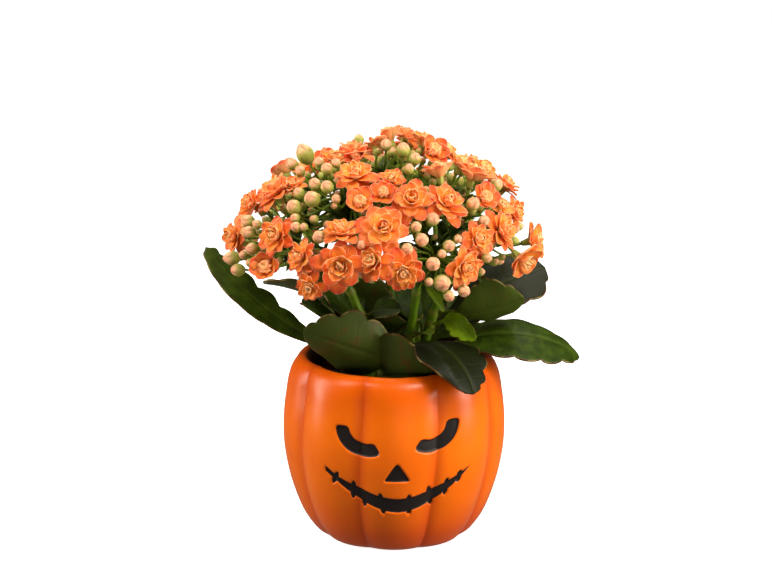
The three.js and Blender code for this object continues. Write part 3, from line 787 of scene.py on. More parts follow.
def soil_profile():
    """Up the grow pot's wall, and over the low crown to the middle."""
    foot = Vector((SOIL["bottom"], 0, SOIL["foot"]))
    brim = Vector((SOIL["brim"], 0, SOIL["top"] - SOIL_DROP["brim"]))
    wall = [foot.lerp(brim, i / WALL_STEPS) for i in range(WALL_STEPS + 1)]
    top = []
    for i in range(1, SOIL_RINGS + 1):
        share = 1 - i / SOIL_RINGS
        height = SOIL["top"] - SOIL_DROP["crown"] * share**4
        top.append(Vector((SOIL["brim"] * share, 0, height)))
    return [Vector((0, 0, SOIL["foot"])), *wall, *top]


heap = Builder()
add_spun(heap, soil_profile(), 0, 360, SOIL_SECTORS)
close_up(heap)
heap_form = keep_form(heap.mesh, "heap")


def roughened(x, y, z):
    """The same place, lifted or lowered by noise where it is on top of the soil."""
    place = Vector((x, y, z))
    if z > SOIL["top"] - SOIL_DROP["brim"] - 0.5:
        lumps = noise.noise(place / SOIL["grain"]) + 0.5 * noise.noise(place * 3 / SOIL["grain"])
        place.z += SOIL["lumps"] * lumps
    return place, {}


soil = Builder()
soil.add(heap_form, roughened)
chip_form = ball_form(8, 5)
for _ in range(CHIPS["count"]):
    brim_place = bearing_vector(chance.uniform(0, 360)) * SOIL["brim"]
    spot = brim_place * math.sqrt(chance.random()) * CHIPS["within"]
    spot.z = SOIL["top"] - 0.2
    size = Vector((chance.uniform(0.7, 2.8), chance.uniform(0.5, 1.3), chance.uniform(0.3, 0.7)))
    tilt = Vector((chance.uniform(-0.3, 0.3), chance.uniform(-0.3, 0.3), 1)).normalized()
    turn = Quaternion(tilt, chance.uniform(0, 6.3))

    def laid_down(x, y, z):
        return spot + turn @ Vector((x * size.x, y * size.y, z * size.z)), {}

    soil.add(chip_form, laid_down)

peat = Finish("moist_peat", {"Specular IOR Level": 0.25})
crumbs = peat.clouds(1.4, detail=6.0, roughness=0.7)
patches = peat.clouds(9)
dark = peat.mix(peat.smooth(crumbs, 0.35, 0.7), colour(28, 18, 12), colour(74, 50, 32))
peat.bump(crumbs, 0.5)
peat.surface(peat.mix(patches * 0.5, dark, colour(50, 36, 26)), 0.92)
soil_piece = soil.piece("peat_soil", [peat.material], "soil", "potting_soil")
print("soil triangles", triangles(soil_piece))

# %% [markdown]
# ## Stems
# Seven fleshy stems leave the soil upright and lean out to the flower heads. They are bright
# green, faintly angled, thicker at the foot, and swollen where leaves grow from them.

# %% The dome and the stems' lines
DOME = {"middle": Vector((-5.5, 0, 149)), "radii": Vector((83, 74, 71))}
STEM = {"foot": 3.4, "tip": 2.1, "socket": 68, "collar": 80, "knee": 116, "out": 12, "reach": 0.45}
KNEE_SHARE = 0.4
STEM_BEARINGS = {
    "left": 175, "front_left": -125, "front": -62, "right": -20,
    "back_right": 42, "back_left": 110,
}


def over(vector, other):
    """Each part of a vector divided by the same part of the other."""
    return Vector([a / b for a, b in zip(vector, other)])


def outer_stem(bearing):
    """Upright out of the soil, bent at the knee, and on to its part of the dome."""
    foot = bearing_vector(bearing) * STEM["out"] + Vector((0, 0, STEM["socket"]))
    top = bearing_vector(bearing) * STEM["reach"] * DOME["radii"] + DOME["middle"]
    collar = Vector((foot.x, foot.y, STEM["collar"]))
    knee = foot.lerp(top, KNEE_SHARE)
    knee.z = STEM["knee"]
    return Line([foot, collar, knee, top])


middle_places = [(0, 1, STEM["socket"]), (0, 1, STEM["collar"]), (-1, 2, 125), (-5, 3, 172)]
STEMS = {"middle": Line([Vector(place) for place in middle_places])}
STEMS |= {name: outer_stem(bearing) for name, bearing in STEM_BEARINGS.items()}
print("stem lengths", {name: round(line.lengths[-1]) for name, line in STEMS.items()})


def stem_at(stem, height):
    """A stem's centre, direction, radius and share of its length at a height."""
    low, high = 0, 1
    while high - low > 1e-3:
        middle = (low + high) / 2
        low, high = (middle, high) if STEMS[stem].at(middle)[0].z < height else (low, middle)
    return *STEMS[stem].at(low), lerp(STEM["foot"], STEM["tip"], low), low


# %% [markdown]
# ## Leaves
# A kalanchoe leaf is thick and waxy, widest past its middle, with rounded scallops along its edge
# that fade towards the stalk. A flat slab is laid along the midrib. Each cross row runs from the
# midrib to a point of the outline, so the rows crowd together at the tip, and the scallops stay
# crisp all round. The rows also lean forward, as the side veins do.

# %% The leaves' places
Leaf = namedtuple(
    "Leaf", "stem at bearing turn length width foot_rise tip_rise roll cup widest", defaults=[0.45]
)
LEAVES = {
    "left_long": Leaf("left", 98, 181, -27, 101, 26, 22, 53, -16, 1, 0.55),
    "left_back": Leaf("back_left", 103, 158, 0, 70, 36, 44, -4, 15, 6),
    "left_narrow": Leaf("front_left", 119, 182, -11, 34, 16, 23, 34, -12, 1, 0.74),
    "front_bowl": Leaf("front", 98, 223, -60, 62, 35, 27, 17, 74, 7),
    "front_drooping": Leaf("front", 110, -51, 0, 56, 40, 21, -73, -8, 1),
    "right_long": Leaf("right", 99, -9, 26, 88, 41, 33, -45, 18, -3, 0.52),
    "right_upright": Leaf("right", 125, -19, 23, 46, 38, 2, 26, -48, 7, 0.6),
    "right_back": Leaf("back_right", 107, 19, 0, 78, 42, 34, 9, 24, 0, 0.7),
    "stem_front": Leaf("right", 119, -51, 0, 34, 13, 28, -48, 74, 4, 0.58),
    "front_low": Leaf("front", 91, -34, 16, 32, 24, 6, 34, -54, 3),
    "inner_left": Leaf("front_left", 127, -8, 0, 19, 15, 24, -8, 30, 2),
    "inner_middle": Leaf("middle", 103, 262, 0, 26, 22, 60, 68, -12, 2),
    "inner_right": Leaf("front", 115, -52, 0, 14, 12, 30, 0, 0, 2),
    "inner_back": Leaf("middle", 95, 94, 0, 42, 24, 78, 66, 0, 4),
    "back_right": Leaf("back_right", 94, 48, 0, 82, 44, 30, -20, 0, 6),
    "back_middle": Leaf("back_left", 100, 84, 0, 72, 42, 30, -24, 6, 6),
    "back_left": Leaf("back_left", 93, 120, 0, 76, 34, 26, -8, 0, 6),
    "back_upper": Leaf("back_right", 115, 76, 0, 58, 34, 36, 6, 0, 5),
}
LEAF_THICKNESS = {"midrib": 2.2, "edge": 1.0}
PETIOLE = {
    "share": 0.16, "half_width": 2.2, "full_from": 36, "foot": 2.5, "rows": 0.1,
    "sunk_rows": 0.02,
}
GAP = 0.3
print("leaves with a solid of their own", len(LEAVES))

# %% How the leaves differ
# How one leaf differs from the rest: how fresh and light its green is, or, where it is negative,
# how much painted shade darkens the whole leaf, the mm that its edges curl up on the two sides, the
# mm that its edge waves, how many scallops a side has, and how deep they are, in mm, on the two
# sides.
PLAIN_LOOK = {"fresh_or_shaded": 0.0, "curl": (0, 0), "wave": 0.8, "scallops": 5.5, "depth": (2.0, 2.0)}
LEAF_LOOKS = {
    "left_long": {"fresh_or_shaded": 0.08, "scallops": 7, "depth": (5.5, 1.0), "wave": 0.6},
    "right_long": {"fresh_or_shaded": -0.25, "scallops": 6.5, "depth": (2.4, 3.4), "wave": 1.0},
    "right_back": {"fresh_or_shaded": -0.9, "scallops": 4.5, "depth": (3.0, 2.4)},
    "stem_front": {"fresh_or_shaded": 1.0, "scallops": 4.5, "wave": 0.3, "depth": (3.0, 3.0)},
    "front_drooping": {"fresh_or_shaded": -1.0, "curl": (-5, 0), "depth": (0.5, 4.6)},
    "right_upright": {"fresh_or_shaded": 0.25, "scallops": 6.5, "wave": 1.8, "depth": (1.7, 0.5)},
    "front_bowl": {"scallops": 4.5, "wave": 1.4, "depth": (0.5, 3.4)},
    "left_narrow": {"scallops": 3, "wave": 0.3, "depth": (0.5, 0.5)},
    "inner_left": {"scallops": 5, "wave": 0.3, "depth": (0.7, 0.7)},
    "inner_right": {"fresh_or_shaded": 0.5, "scallops": 4, "wave": 0.2, "depth": (0.5, 0.5)},
    "inner_middle": {"scallops": 5, "wave": 0.4, "depth": (0.8, 0.8)},
    "front_low": {"fresh_or_shaded": 0.1, "scallops": 5, "wave": 0.6, "depth": (1.0, 1.0)},
    "narrow_bract": {"fresh_or_shaded": 0.4, "scallops": 1, "wave": 0, "depth": (0, 0)},
    "left_second": {"scallops": 1, "wave": 0, "depth": (0, 0)},
    "shade_left": {"scallops": 4, "wave": 0.5},
    "shade_right": {"scallops": 4, "wave": 0.5},
    "shade_middle": {"scallops": 4, "wave": 0.5},
    "bowl_second": {"fresh_or_shaded": -0.2, "scallops": 4.5, "wave": 0.6, "depth": (0.6, 0.6)},
    "inner_low": {"fresh_or_shaded": 0.3, "scallops": 3.5, "wave": 0.4, "depth": (0.8, 0.8)},
}


# %% A leaf's outline and midrib
def leaf_half_width(leaf, share):
    """Half the width of the stalk or the blade, without its scallops."""
    petiole = PETIOLE["half_width"] * min(1, leaf.width / PETIOLE["full_from"])
    if share < PETIOLE["share"]:
        return petiole
    along = (share - PETIOLE["share"]) / (1 - PETIOLE["share"])
    fullest = math.log(0.5) / math.log(leaf.widest)
    blade = math.sin(math.pi * along**fullest) ** lerp(0.7, 0.46, along) if along < 1 else 0
    wide = (leaf.width / 2) * (max(0.1 * (1 - along), min(1, blade)) + 0.04)
    return lerp(petiole, wide, smooth(0, 0.12, along)) * min(1, 40 * (1 - along)) ** 0.5


def leaf_direction(leaf, share):
    """Which way the midrib runs at a share of its length."""
    climb = math.radians(lerp(leaf.foot_rise, leaf.tip_rise, share))
    direction = bearing_vector(leaf.bearing + leaf.turn * share) * math.cos(climb)
    direction.z = math.sin(climb)
    return direction


def midrib(leaf, steps=8):
    """The midrib's line, from the stem's surface to the tip."""
    centre, along, radius, _ = stem_at(leaf.stem, leaf.at)
    out = bearing_vector(leaf.bearing)
    rise, roll = math.radians(leaf.foot_rise), math.radians(leaf.roll)
    half_height = LEAF_THICKNESS["midrib"] / 2 * math.cos(roll)
    half_height += leaf_half_width(leaf, 0) * abs(math.sin(roll))
    corner = half_height * abs(math.sin(rise) + along.dot(out) / along.z * math.cos(rise))
    places = [centre + out * (radius + 1.3 * GAP + corner)]
    for i in range(steps):
        places.append(places[-1] + leaf_direction(leaf, i / steps) * leaf.length / steps)
    return Line(places)


# %% Shaping a leaf
LEAF_STEPS = {"along": 72, "across": 20, "layers": 2}
VEIN_LEAN = 0.055
leaf_form = slab_form(**LEAF_STEPS)


def add_leaf(builder, leaf, look):
    """A stalk and a blade with scallops, waves and a grooved midrib."""
    rib = midrib(leaf)
    seed = leaf.length * 0.37 + leaf.bearing
    centre = (PETIOLE["share"] + 0.46) * leaf.length
    size = min(1, leaf.width / 30)

    def share_at_edge(row):
        if row < PETIOLE["rows"]:
            return row * PETIOLE["share"] / PETIOLE["rows"]
        part = (row - PETIOLE["rows"]) / (1 - PETIOLE["rows"])
        part = lerp(part, (1 - math.cos(math.pi * part)) / 2, 0.75)
        return PETIOLE["share"] + (1 - PETIOLE["share"]) * part

    def move(x, y, z):
        edge = share_at_edge(x)
        hand = 0 if y < 0 else 1
        blade_share = min(1, max(0, (edge - PETIOLE["share"]) / (1 - PETIOLE["share"])))
        share = edge - VEIN_LEAN * math.sin(math.pi * blade_share) * (1 - abs(y) ** 1.2)
        half = leaf_half_width(leaf, edge)
        along, across = edge * leaf.length, y * half
        blade = smooth(PETIOLE["share"], PETIOLE["share"] + 0.25, share)
        part = (x - PETIOLE["rows"]) / (1 - PETIOLE["rows"])
        lobe = (look["scallops"] * part + (0.12 if 0 < y < 1 else 0)) % 1
        scallop = math.sin(math.pi * lobe**0.8) ** 0.7
        notch = look["depth"][hand] * (1 - scallop) * smooth(0.3, 0.5, x) * abs(y) ** 5
        round_edge = 0.42 * size * abs(z) * abs(y) ** 10
        inward = Vector(((centre - along) * (leaf.width / leaf.length) ** 1.5, -across))
        if inward.length > 0.01:
            inward.normalize()
        inward *= notch * size + round_edge
        along = share * leaf.length + inward.x
        across += inward.y
        place, _ = rib.at(along / leaf.length)
        direction = leaf_direction(leaf, share)
        level = bearing_vector(leaf.bearing + leaf.turn * share + 90)
        side = Quaternion(direction, math.radians(leaf.roll)) @ level
        face = direction.cross(side)
        thickness = lerp(LEAF_THICKNESS["midrib"], LEAF_THICKNESS["edge"], y * y) * size
        spread = 2 * across / leaf.width
        lift = leaf.cup * blade * spread**2 + z * thickness / 2
        curl = look["curl"][hand] * smooth(0.45, 1, abs(spread)) * blade
        wave = math.sin(9 * x + seed + (1.3 if y > 0 else 0)) + 0.5 * math.sin(19 * x + 2 * seed)
        lift += curl + look["wave"] * wave * blade * spread**2
        # The midrib is a groove above and a ridge below.
        lift -= 0.5 * size * math.exp(-((across / 1.3) ** 2)) * blade * (1 if z > 0 else -0.6)
        across -= 0.45 * abs(curl) * math.copysign(1, y)
        if x < PETIOLE["sunk_rows"]:
            place = place - direction * PETIOLE["foot"]
        marks = {"along": share, "row": x, "across": y, "underside": (1 - z) / 2}
        return place + side * across + face * lift, {**marks, "fresh_or_shaded": look["fresh_or_shaded"]}

    builder.add(leaf_form, move)


# %% [markdown]
# The blade is dark green and lighter along its veins, with a waxy, slightly uneven sheen. The
# underside is paler with a purple-brown cast, and the scallops end in a thin brown and cream rim.
# The colours follow the marks stored on the leaf, so they bend with it. Leaves in shade get
# painted shade: their green is darkened nearly to black.

# %% The leaves' finish
VEIN_RATE = 58.0
leaf_skin = Finish("waxy_leaf", {"IOR": 1.45, "Specular IOR Level": 0.22})
across = abs(leaf_skin.own("across"))
underside = leaf_skin.smooth(leaf_skin.own("underside"), 0.45, 0.75)
fresh_or_shaded = leaf_skin.own("fresh_or_shaded")
lumps = leaf_skin.clouds(7, detail=4.0, roughness=0.6)
grain = leaf_skin.clouds(0.9, detail=3.0)
rows = leaf_skin.own("row") * VEIN_RATE
side_vein = leaf_skin.smooth(rows.maths("SINE", rows), 0.86, 1.0)
side_vein = side_vein * (1 - leaf_skin.smooth(across, 0.6, 0.95))
main_vein = 1 - leaf_skin.smooth(across, 0.02, 0.11)
vein = leaf_skin.larger(side_vein * 0.25, main_vein)
mottled = leaf_skin.smooth(lumps, 0.35, 0.7)
dark_green = leaf_skin.mix(mottled, colour(30, 48, 0), colour(54, 74, 4))
fresh_green = leaf_skin.mix(lumps, colour(94, 128, 4), colour(132, 160, 20))
# Painted shade: a negative mark darkens the whole leaf towards near black, as the shade on it; a
# positive one makes its green fresher.
painted_leaf_shade = leaf_skin.smooth(0 - fresh_or_shaded, 0, 1)
blade = leaf_skin.mix(painted_leaf_shade, leaf_skin.mix(fresh_or_shaded, dark_green, fresh_green), colour(16, 22, 0))
blade = leaf_skin.mix(vein * (0.2 - painted_leaf_shade * 0.12), blade, colour(96, 116, 40))
pale = leaf_skin.mix(leaf_skin.smooth(lumps, 0.5, 0.75), colour(66, 78, 26), colour(84, 60, 26))
blade = leaf_skin.mix(underside * (0.85 - 0.5 * fresh_or_shaded), blade, pale)
foot = 1 - leaf_skin.smooth(leaf_skin.own("along"), 0.04, 0.3)
blade = leaf_skin.mix(foot * 0.35, blade, colour(104, 104, 28))
rim = leaf_skin.smooth(across, 0.97, 1.0) * leaf_skin.smooth(leaf_skin.own("along"), 0.25, 0.4)
cream = leaf_skin.smooth(lumps, 0.45, 0.6)
rim_colour = leaf_skin.mix(cream, colour(92, 52, 26), colour(150, 128, 78))
leaf_skin.bump(grain * 0.25 + lumps * 0.7 - vein * 0.5, 0.45)
leaf_skin.surface(leaf_skin.mix(rim * 0.7, blade, rim_colour), 0.38 + lumps * 0.22)
print("leaf finish nodes", len(leaf_skin.tree.nodes))

# %% Making the leaves
# These are small or half hidden. Each stands for part of a node that it grows from or lies by.
EXTRA_LEAVES = {
    "narrow_bract": (Leaf("front", 147, -48, 0, 21, 4.6, -24, -56, 20, 0.5), "stem_front"),
    "left_second": (Leaf("front_left", 122, 178, 0, 23, 10, 36, 30, -10, 1, 0.7), "leaf_left_narrow"),
    "bowl_second": (Leaf("front_left", 93, -75, 85, 38, 46, 13, 2, -68, 5, 0.4), "leaf_front_bowl"),
    "shade_left": (Leaf("front_left", 114, 140, 0, 46, 30, 52, 44, 0, 4), "stem_front_left"),
    "shade_right": (Leaf("right", 110, 100, 0, 40, 30, 60, 50, 0, 4), "stem_right"),
    "shade_middle": (Leaf("middle", 112, 180, 0, 36, 28, 66, 58, 60, 3), "stem_middle"),
    "inner_low": (Leaf("middle", 108, -50, 0, 24, 16, 50, 30, 20, 2), "stem_middle"),
}


def make_leaf(name, leaf, title, node):
    """Makes one leaf a piece, and returns how many triangles it has."""
    blade = Builder("along", "row", "across", "underside", "fresh_or_shaded")
    add_leaf(blade, leaf, {**PLAIN_LOOK, **LEAF_LOOKS.get(name, {})})
    return triangles(blade.piece(title, [leaf_skin.material], "leaf", node))


leaf_triangles = 0
for name, leaf in LEAVES.items():
    leaf_triangles += make_leaf(name, leaf, f"scalloped_leaf_{name}", f"leaf_{name}")
for name, (leaf, node) in EXTRA_LEAVES.items():
    leaf_triangles += make_leaf(name, leaf, name, node)
print("leaf triangles", leaf_triangles)

# %% The stems' finish
stem_skin = Finish("fresh_stem", {"IOR": 1.42, "Specular IOR Level": 0.4})
speckle = stem_skin.clouds(0.8, detail=4.0)
long_cloud = stem_skin.clouds(6, stretch=(1, 1, 0.35))
patchy = stem_skin.smooth(long_cloud, 0.3, 0.7)
green = stem_skin.mix(patchy, colour(62, 92, 4), colour(90, 118, 14))
knot = stem_skin.smooth(stem_skin.own("knot"), 0.35, 1.0)
green = stem_skin.mix(knot * 0.4, green, colour(132, 122, 50))
stem_skin.bump(speckle * 0.5 + long_cloud * 0.5, 0.2)
specks = stem_skin.smooth(speckle, 0.66, 0.76) * 0.3
stem_skin.surface(stem_skin.mix(specks, green, colour(96, 70, 34)), 0.38)
print("stem finish nodes", len(stem_skin.tree.nodes))

# %% Making the stems
STEM_STEPS, STEM_SIDES = 60, 16
TOP_KNOT, KNOT_LENGTH = 0.9, 2.6
stem_form = rod_form(STEM_SIDES, STEM_STEPS)

for name, line in STEMS.items():
    knots = [stem_at(leaf.stem, leaf.at)[3] for leaf in LEAVES.values() if leaf.stem == name]
    knots.append(TOP_KNOT)
    length = line.lengths[-1]

    def swelling(share):
        return max(math.exp(-(((share - knot) * length / KNOT_LENGTH) ** 2)) for knot in knots)

    def thickness(share, around):
        angled = 1 + 0.05 * math.cos(4 * around + 3 * share)
        plain = lerp(STEM["foot"], STEM["tip"], share) * angled
        return plain * (0.95 + 0.2 * swelling(share))

    rod = Builder("along", "knot")
    add_rod(rod, stem_form, STEM_STEPS, line, thickness)
    for vertex in rod.mesh.verts:
        vertex[rod.marks["knot"]] = swelling(vertex[rod.marks["along"]])
    rod.piece(f"green_stem_{name}", [stem_skin.material], "stem", f"stem_{name}")
print("stems", len(STEMS))

# %% [markdown]
# ## Where the flowers stand
# The blooms and buds cover a dome. Each one of the front was laid out by its place in the front
# view, and the line of sight through that place meets the dome where the flower stands, facing
# out. The back is the front turned half round, where there's room. Its flowers on the left
# shoulder are smaller and sit lower, as the crown is flatter there.

# %% The blooms' and buds' places in the front view
# Each has its steps across and down the view, in pixels of the picture, and its width, in mm.
FULL, LOOSE, RAISED, CUP = "full", "loose", "raised", "cup"
BLOOMS = [
    (356, 174, 21, FULL), (276, 190, 24, FULL), (276, 236, 22, FULL), (300, 257, 20, FULL),
    (309, 287, 17, FULL), (340, 265, 26, LOOSE), (341, 231, 21, FULL), (383, 228, 26, LOOSE),
    (353, 150, 20, FULL), (388, 136, 17, RAISED), (373, 261, 22, FULL), (403, 272, 22, FULL),
    (439, 171, 18, RAISED), (473, 175, 20, RAISED), (412, 200, 23, LOOSE), (447, 203, 25, LOOSE),
    (503, 230, 22, FULL), (465, 267, 22, FULL), (479, 239, 19, FULL), (506, 184, 19, FULL),
    (250, 204, 18, FULL), (231, 237, 17, FULL), (265, 267, 16, CUP), (360, 201, 15, CUP),
    (383, 192, 14, CUP), (391, 178, 14, FULL), (433, 150, 17, CUP), (406, 132, 16, FULL),
    (425, 140, 15, RAISED), (446, 149, 14, RAISED), (461, 161, 13, RAISED), (485, 168, 12, RAISED),
    (486, 197, 15, CUP), (516, 212, 16, FULL), (502, 205, 12, RAISED), (535, 240, 17, RAISED),
    (523, 260, 19, RAISED), (356, 155, 12, CUP), (293, 184, 14, FULL),
]
BUDS = [
    (305, 154, 9.5), (292, 164, 6.5), (300, 171, 5.5), (319, 162, 5.5), (327, 169, 6.5),
    (336, 163, 5.5), (315, 184, 6.5), (327, 187, 7), (299, 193, 6), (312, 199, 8.5), (294, 207, 8),
    (308, 210, 4.5), (341, 188, 8), (336, 199, 5), (345, 204, 5), (377, 166, 7), (386, 145, 6),
    (397, 141, 6.5), (403, 150, 7.5), (415, 159, 6.5), (409, 169, 5.5), (421, 188, 6.5),
    (248, 221, 7), (249, 232, 6.5), (257, 224, 5), (273, 220, 5), (295, 218, 5), (296, 227, 7),
    (304, 227, 4.5), (319, 237, 7), (325, 239, 6), (349, 247, 9), (361, 245, 6), (222, 258, 6),
    (232, 258, 8), (244, 255, 5), (252, 249, 6.5), (238, 270, 7), (227, 267, 5), (292, 243, 6.5),
    (286, 259, 7), (312, 247, 6), (496, 185, 7), (473, 204, 7), (481, 210, 5), (433, 219, 8),
    (416, 227, 6), (422, 240, 7), (407, 249, 6.5), (449, 246, 6.5), (433, 264, 7.5),
    (442, 254, 5.5), (442, 283, 9), (464, 291, 7.5), (449, 296, 6), (460, 299, 4.5), (429, 282, 5.5),
    (487, 258, 6.5), (458, 219, 4.5), (484, 221, 6), (458, 239, 4.5),
]
LONG_BUDS = [(305, 154), (442, 283), (473, 204)]
print("in the front view:", len(BLOOMS), "blooms and", len(BUDS), "buds")

# %% How they lean and how close they stand
# How far some blooms lean from facing straight out of the dome, to the right and up, in degrees.
LEANS = {
    (341, 231): (0, 42), (353, 150): (-10, 24), (388, 136): (0, 30), (439, 171): (0, 46),
    (473, 175): (14, 24), (309, 287): (0, -16), (403, 272): (0, -18), (373, 261): (-30, 6),
    (465, 267): (12, -10), (276, 190): (-14, 10), (300, 257): (-24, 6), (503, 230): (6, -4),
    (356, 174): (4, 4), (276, 236): (0, 0), (479, 239): (0, 0), (412, 200): (-10, 0),
    (231, 237): (38, 0), (265, 267): (28, 8), (535, 240): (-12, 4), (523, 260): (-14, -38),
    (360, 201): (0, -10), (383, 192): (0, 0), (433, 150): (-20, -30), (486, 197): (-16, -6),
}
CHANCE_LEAN = {"bloom": 14, "bud": 16}
BACK_SPACING = {"bloom": 16, "bud": 11}
FRONT_PART = -0.3
SHOULDER = {"left_of": -0.15, "above": 0.75, "sink": 0.9, "size": 0.75}
SEATED_BLOOMS = 19
FLOWER_GAP = 0.5
LEAST_BUD = 1.9
BLOOM_HEIGHT = 8
print("blooms with a lean of their own", len(LEANS))


# %% A flower on the dome
@dataclass
class Flower:
    """A bloom or bud on the dome, in mm."""

    unit: Vector
    radius: float
    kind: str = "bud"
    long: bool = False
    lean: tuple = (0, 0)
    node: str = ""
    full: float = 0

    @property
    def place(self):
        return self.unit * DOME["radii"] + DOME["middle"]

    @property
    def facing(self):
        """Out of the dome, turned by the lean."""
        out = over(self.unit, DOME["radii"]).normalized()
        right, up = (math.tan(math.radians(angle)) for angle in self.lean)
        level = Vector((-out.y, out.x, 0)).normalized()
        return (out + level * right + out.cross(level) * up).normalized()


def on_dome(step_across, step_down):
    """Where the dome is seen through a step of the front view."""
    right = (step_across - PICTURE["width"] / 2) / VIEW["focal"]
    up = (PICTURE["height"] / 2 - step_down) / VIEW["focal"]
    sight = over(eye_right * right - eye_back + eye_up * up, DOME["radii"])
    start = over(eye - DOME["middle"], DOME["radii"])
    a, b, c = sight.dot(sight), start.dot(sight), start.dot(start) - 1
    reach = (-b - math.sqrt(max(0, b * b - a * c))) / a
    return (start + sight * reach).normalized()


# %% Filling the back and making room
def fill_back(front, taken, clearance):
    """The front's flowers turned half round, where no other is closer than the clearance."""
    back = []
    for item in front:
        if item.unit.y < FRONT_PART:
            unit = Vector((-item.unit.x, -item.unit.y, item.unit.z))
            turned = Flower(unit, item.radius, item.kind, item.long, item.lean)
            if unit.x < SHOULDER["left_of"] and unit.z > SHOULDER["above"]:
                turned.unit = unit * SHOULDER["sink"]
                turned.radius *= SHOULDER["size"]
            if all((other.place - turned.place).length > clearance for other in [*taken, *back]):
                back.append(turned)
    return back


def make_room(blooms, buds):
    """Shrinks flowers that touch, as their solids do, and keeps each one's full radius too."""
    for flower in [*blooms, *buds]:
        flower.full = flower.radius
    shares = [
        min(1, *(
            ((other.place - bloom.place).length - FLOWER_GAP) / (other.full + bloom.full)
            for other in blooms if other is not bloom
        ))
        for bloom in blooms
    ]
    for bloom, share in zip(blooms, shares):
        bloom.radius = bloom.full * share
    roomy = []
    for bud in buds:
        for other in [*blooms, *roomy]:
            room = (bud.place - other.place).length - other.radius - FLOWER_GAP
            bud.radius = min(bud.radius, room)
        if bud.radius >= LEAST_BUD:
            roomy.append(bud)
    return roomy


# %% Placing them
chance = random.Random(SEEDS["flowers"])


def chance_lean(most):
    return chance.uniform(-most, most), chance.uniform(-most, most)


blooms = [
    Flower(
        on_dome(right, down), size / 2, kind, False,
        LEANS.get((right, down), chance_lean(CHANCE_LEAN["bloom"])),
    )
    for right, down, size, kind in BLOOMS
]
blooms += fill_back(blooms, blooms, BACK_SPACING["bloom"])
buds = [
    Flower(on_dome(right, down), size / 2, "bud", (right, down) in LONG_BUDS)
    for right, down, size in BUDS
]
buds += fill_back(buds, [*blooms, *buds], BACK_SPACING["bud"])
buds = make_room(blooms, buds)
print("blooms", len(blooms), "buds", len(buds))

# %% [markdown]
# Between and behind these, a real head has small green buds on shorter stalks, which close the
# dome. They are scattered by seeded chance on a slightly smaller dome, wherever there's room.

# %% Small buds deeper in
DEEPER = {"depth": (0.74, 0.93), "tries": 900, "apart": 5.6, "radius": (1.6, 2.7), "lowest": 0.06}


def small_buds():
    """Buds at seeded chance inside the dome, clear of the blooms and of each other."""
    found = []
    for _ in range(DEEPER["tries"]):
        unit = Vector([chance.gauss(0, 1) for _ in range(3)]).normalized()
        unit *= chance.uniform(*DEEPER["depth"])
        radius = chance.uniform(*DEEPER["radius"])
        place = unit * DOME["radii"] + DOME["middle"]
        clear = all((other.place - place).length > other.radius * 0.5 + radius for other in blooms)
        apart = all((other.place - place).length > DEEPER["apart"] for other in [*buds, *found])
        if unit.z > DEEPER["lowest"] and clear and apart:
            lean = chance_lean(CHANCE_LEAN["bud"])
            found.append(Flower(unit, radius, "bud", False, lean, full=radius))
    return found


deep_buds = small_buds()
print("small buds", len(deep_buds))

# %% Flower heads
HUB = {"upper": 40, "lower": 76, "reach": 0.62}


def hub_place(bearing, polar):
    """Where a branch ends, at an angle from straight up, inside the dome."""
    out = bearing_vector(bearing) * math.sin(math.radians(polar))
    out.z = math.cos(math.radians(polar))
    return out * HUB["reach"] * DOME["radii"] + DOME["middle"]


HEADS = {"flower_head_top": ("middle", hub_place(0, 0), False)}
for name, bearing in STEM_BEARINGS.items():
    HEADS[f"flower_head_upper_{name}"] = (name, hub_place(bearing, HUB["upper"]), False)
    HEADS[f"flower_head_lower_{name}"] = (name, hub_place(bearing, HUB["lower"]), True)


def nearest_head(place):
    return min(HEADS, key=lambda head: (HEADS[head][1] - place).length)


for i, bloom in enumerate(blooms):
    bloom.node = f"bloom_{i + 1:02d}" if i < SEATED_BLOOMS else nearest_head(bloom.place)
for bud in [*buds, *deep_buds]:
    bud.node = nearest_head(bud.place)
print("flower heads", len(HEADS))

# %% [markdown]
# ## Stalks and buds
# Each head is a small tree: a branch from the stem, thin flower stalks fanning out from its end,
# and closed buds between the blooms. A bud is an egg of four petals twisted shut, with a green
# cup of four sepals round its base.

# %% Their forms
STALK_STEPS, STALK_SIDES = 8, 7
stalk_form = rod_form(STALK_SIDES, STALK_STEPS)
bud_form = ball_form(24, 12)
small_bud_form = ball_form(16, 8)
sepal_form = slab_form(4, 2, 1)
bract_form = slab_form(8, 4, 1)
print("faces of a bud", len(bud_form.polygons), "and of a small one", len(small_bud_form.polygons))


def bud_frame(facing, spin):
    """Turns +Z to facing, after a spin about it."""
    return facing.to_track_quat("Z", "Y") @ Quaternion((0, 0, 1), spin)


def arc(reach, first, bend):
    """A bent path's end: how far out and up, for a start angle and a bend over its length."""
    if abs(bend) < 1e-3:
        return reach * math.cos(first), reach * math.sin(first)
    radius = reach / bend
    return (
        radius * (math.sin(first + bend) - math.sin(first)),
        radius * (math.cos(first) - math.cos(first + bend)),
    )


# %% Shaping sepals
def add_sepals(builder, foot, turn, base, length, width, splay, skin=0):
    """Four pointed sepals round a base radius, bending in over what they hold."""
    for i in range(4):
        quarter = turn @ Quaternion((0, 0, 1), math.pi / 2 * i + 0.3)

        def move(x, y, z):
            out, up = arc(x * length, math.radians(90 - splay), math.radians(splay * 1.1))
            half = width * math.sin(math.pi * (0.28 + 0.72 * x)) ** 0.8 + 0.02
            out += base - 0.25 * half * y * y + z * 0.16
            marks = {"along": 0.1 * x, "seam": 0, "green": 1 - 0.25 * x}
            return foot + quarter @ Vector((out, y * half, up)), marks

        builder.add(sepal_form, move, skin)


# %% Shaping buds and bracts
SMALL_BUD = 2.7


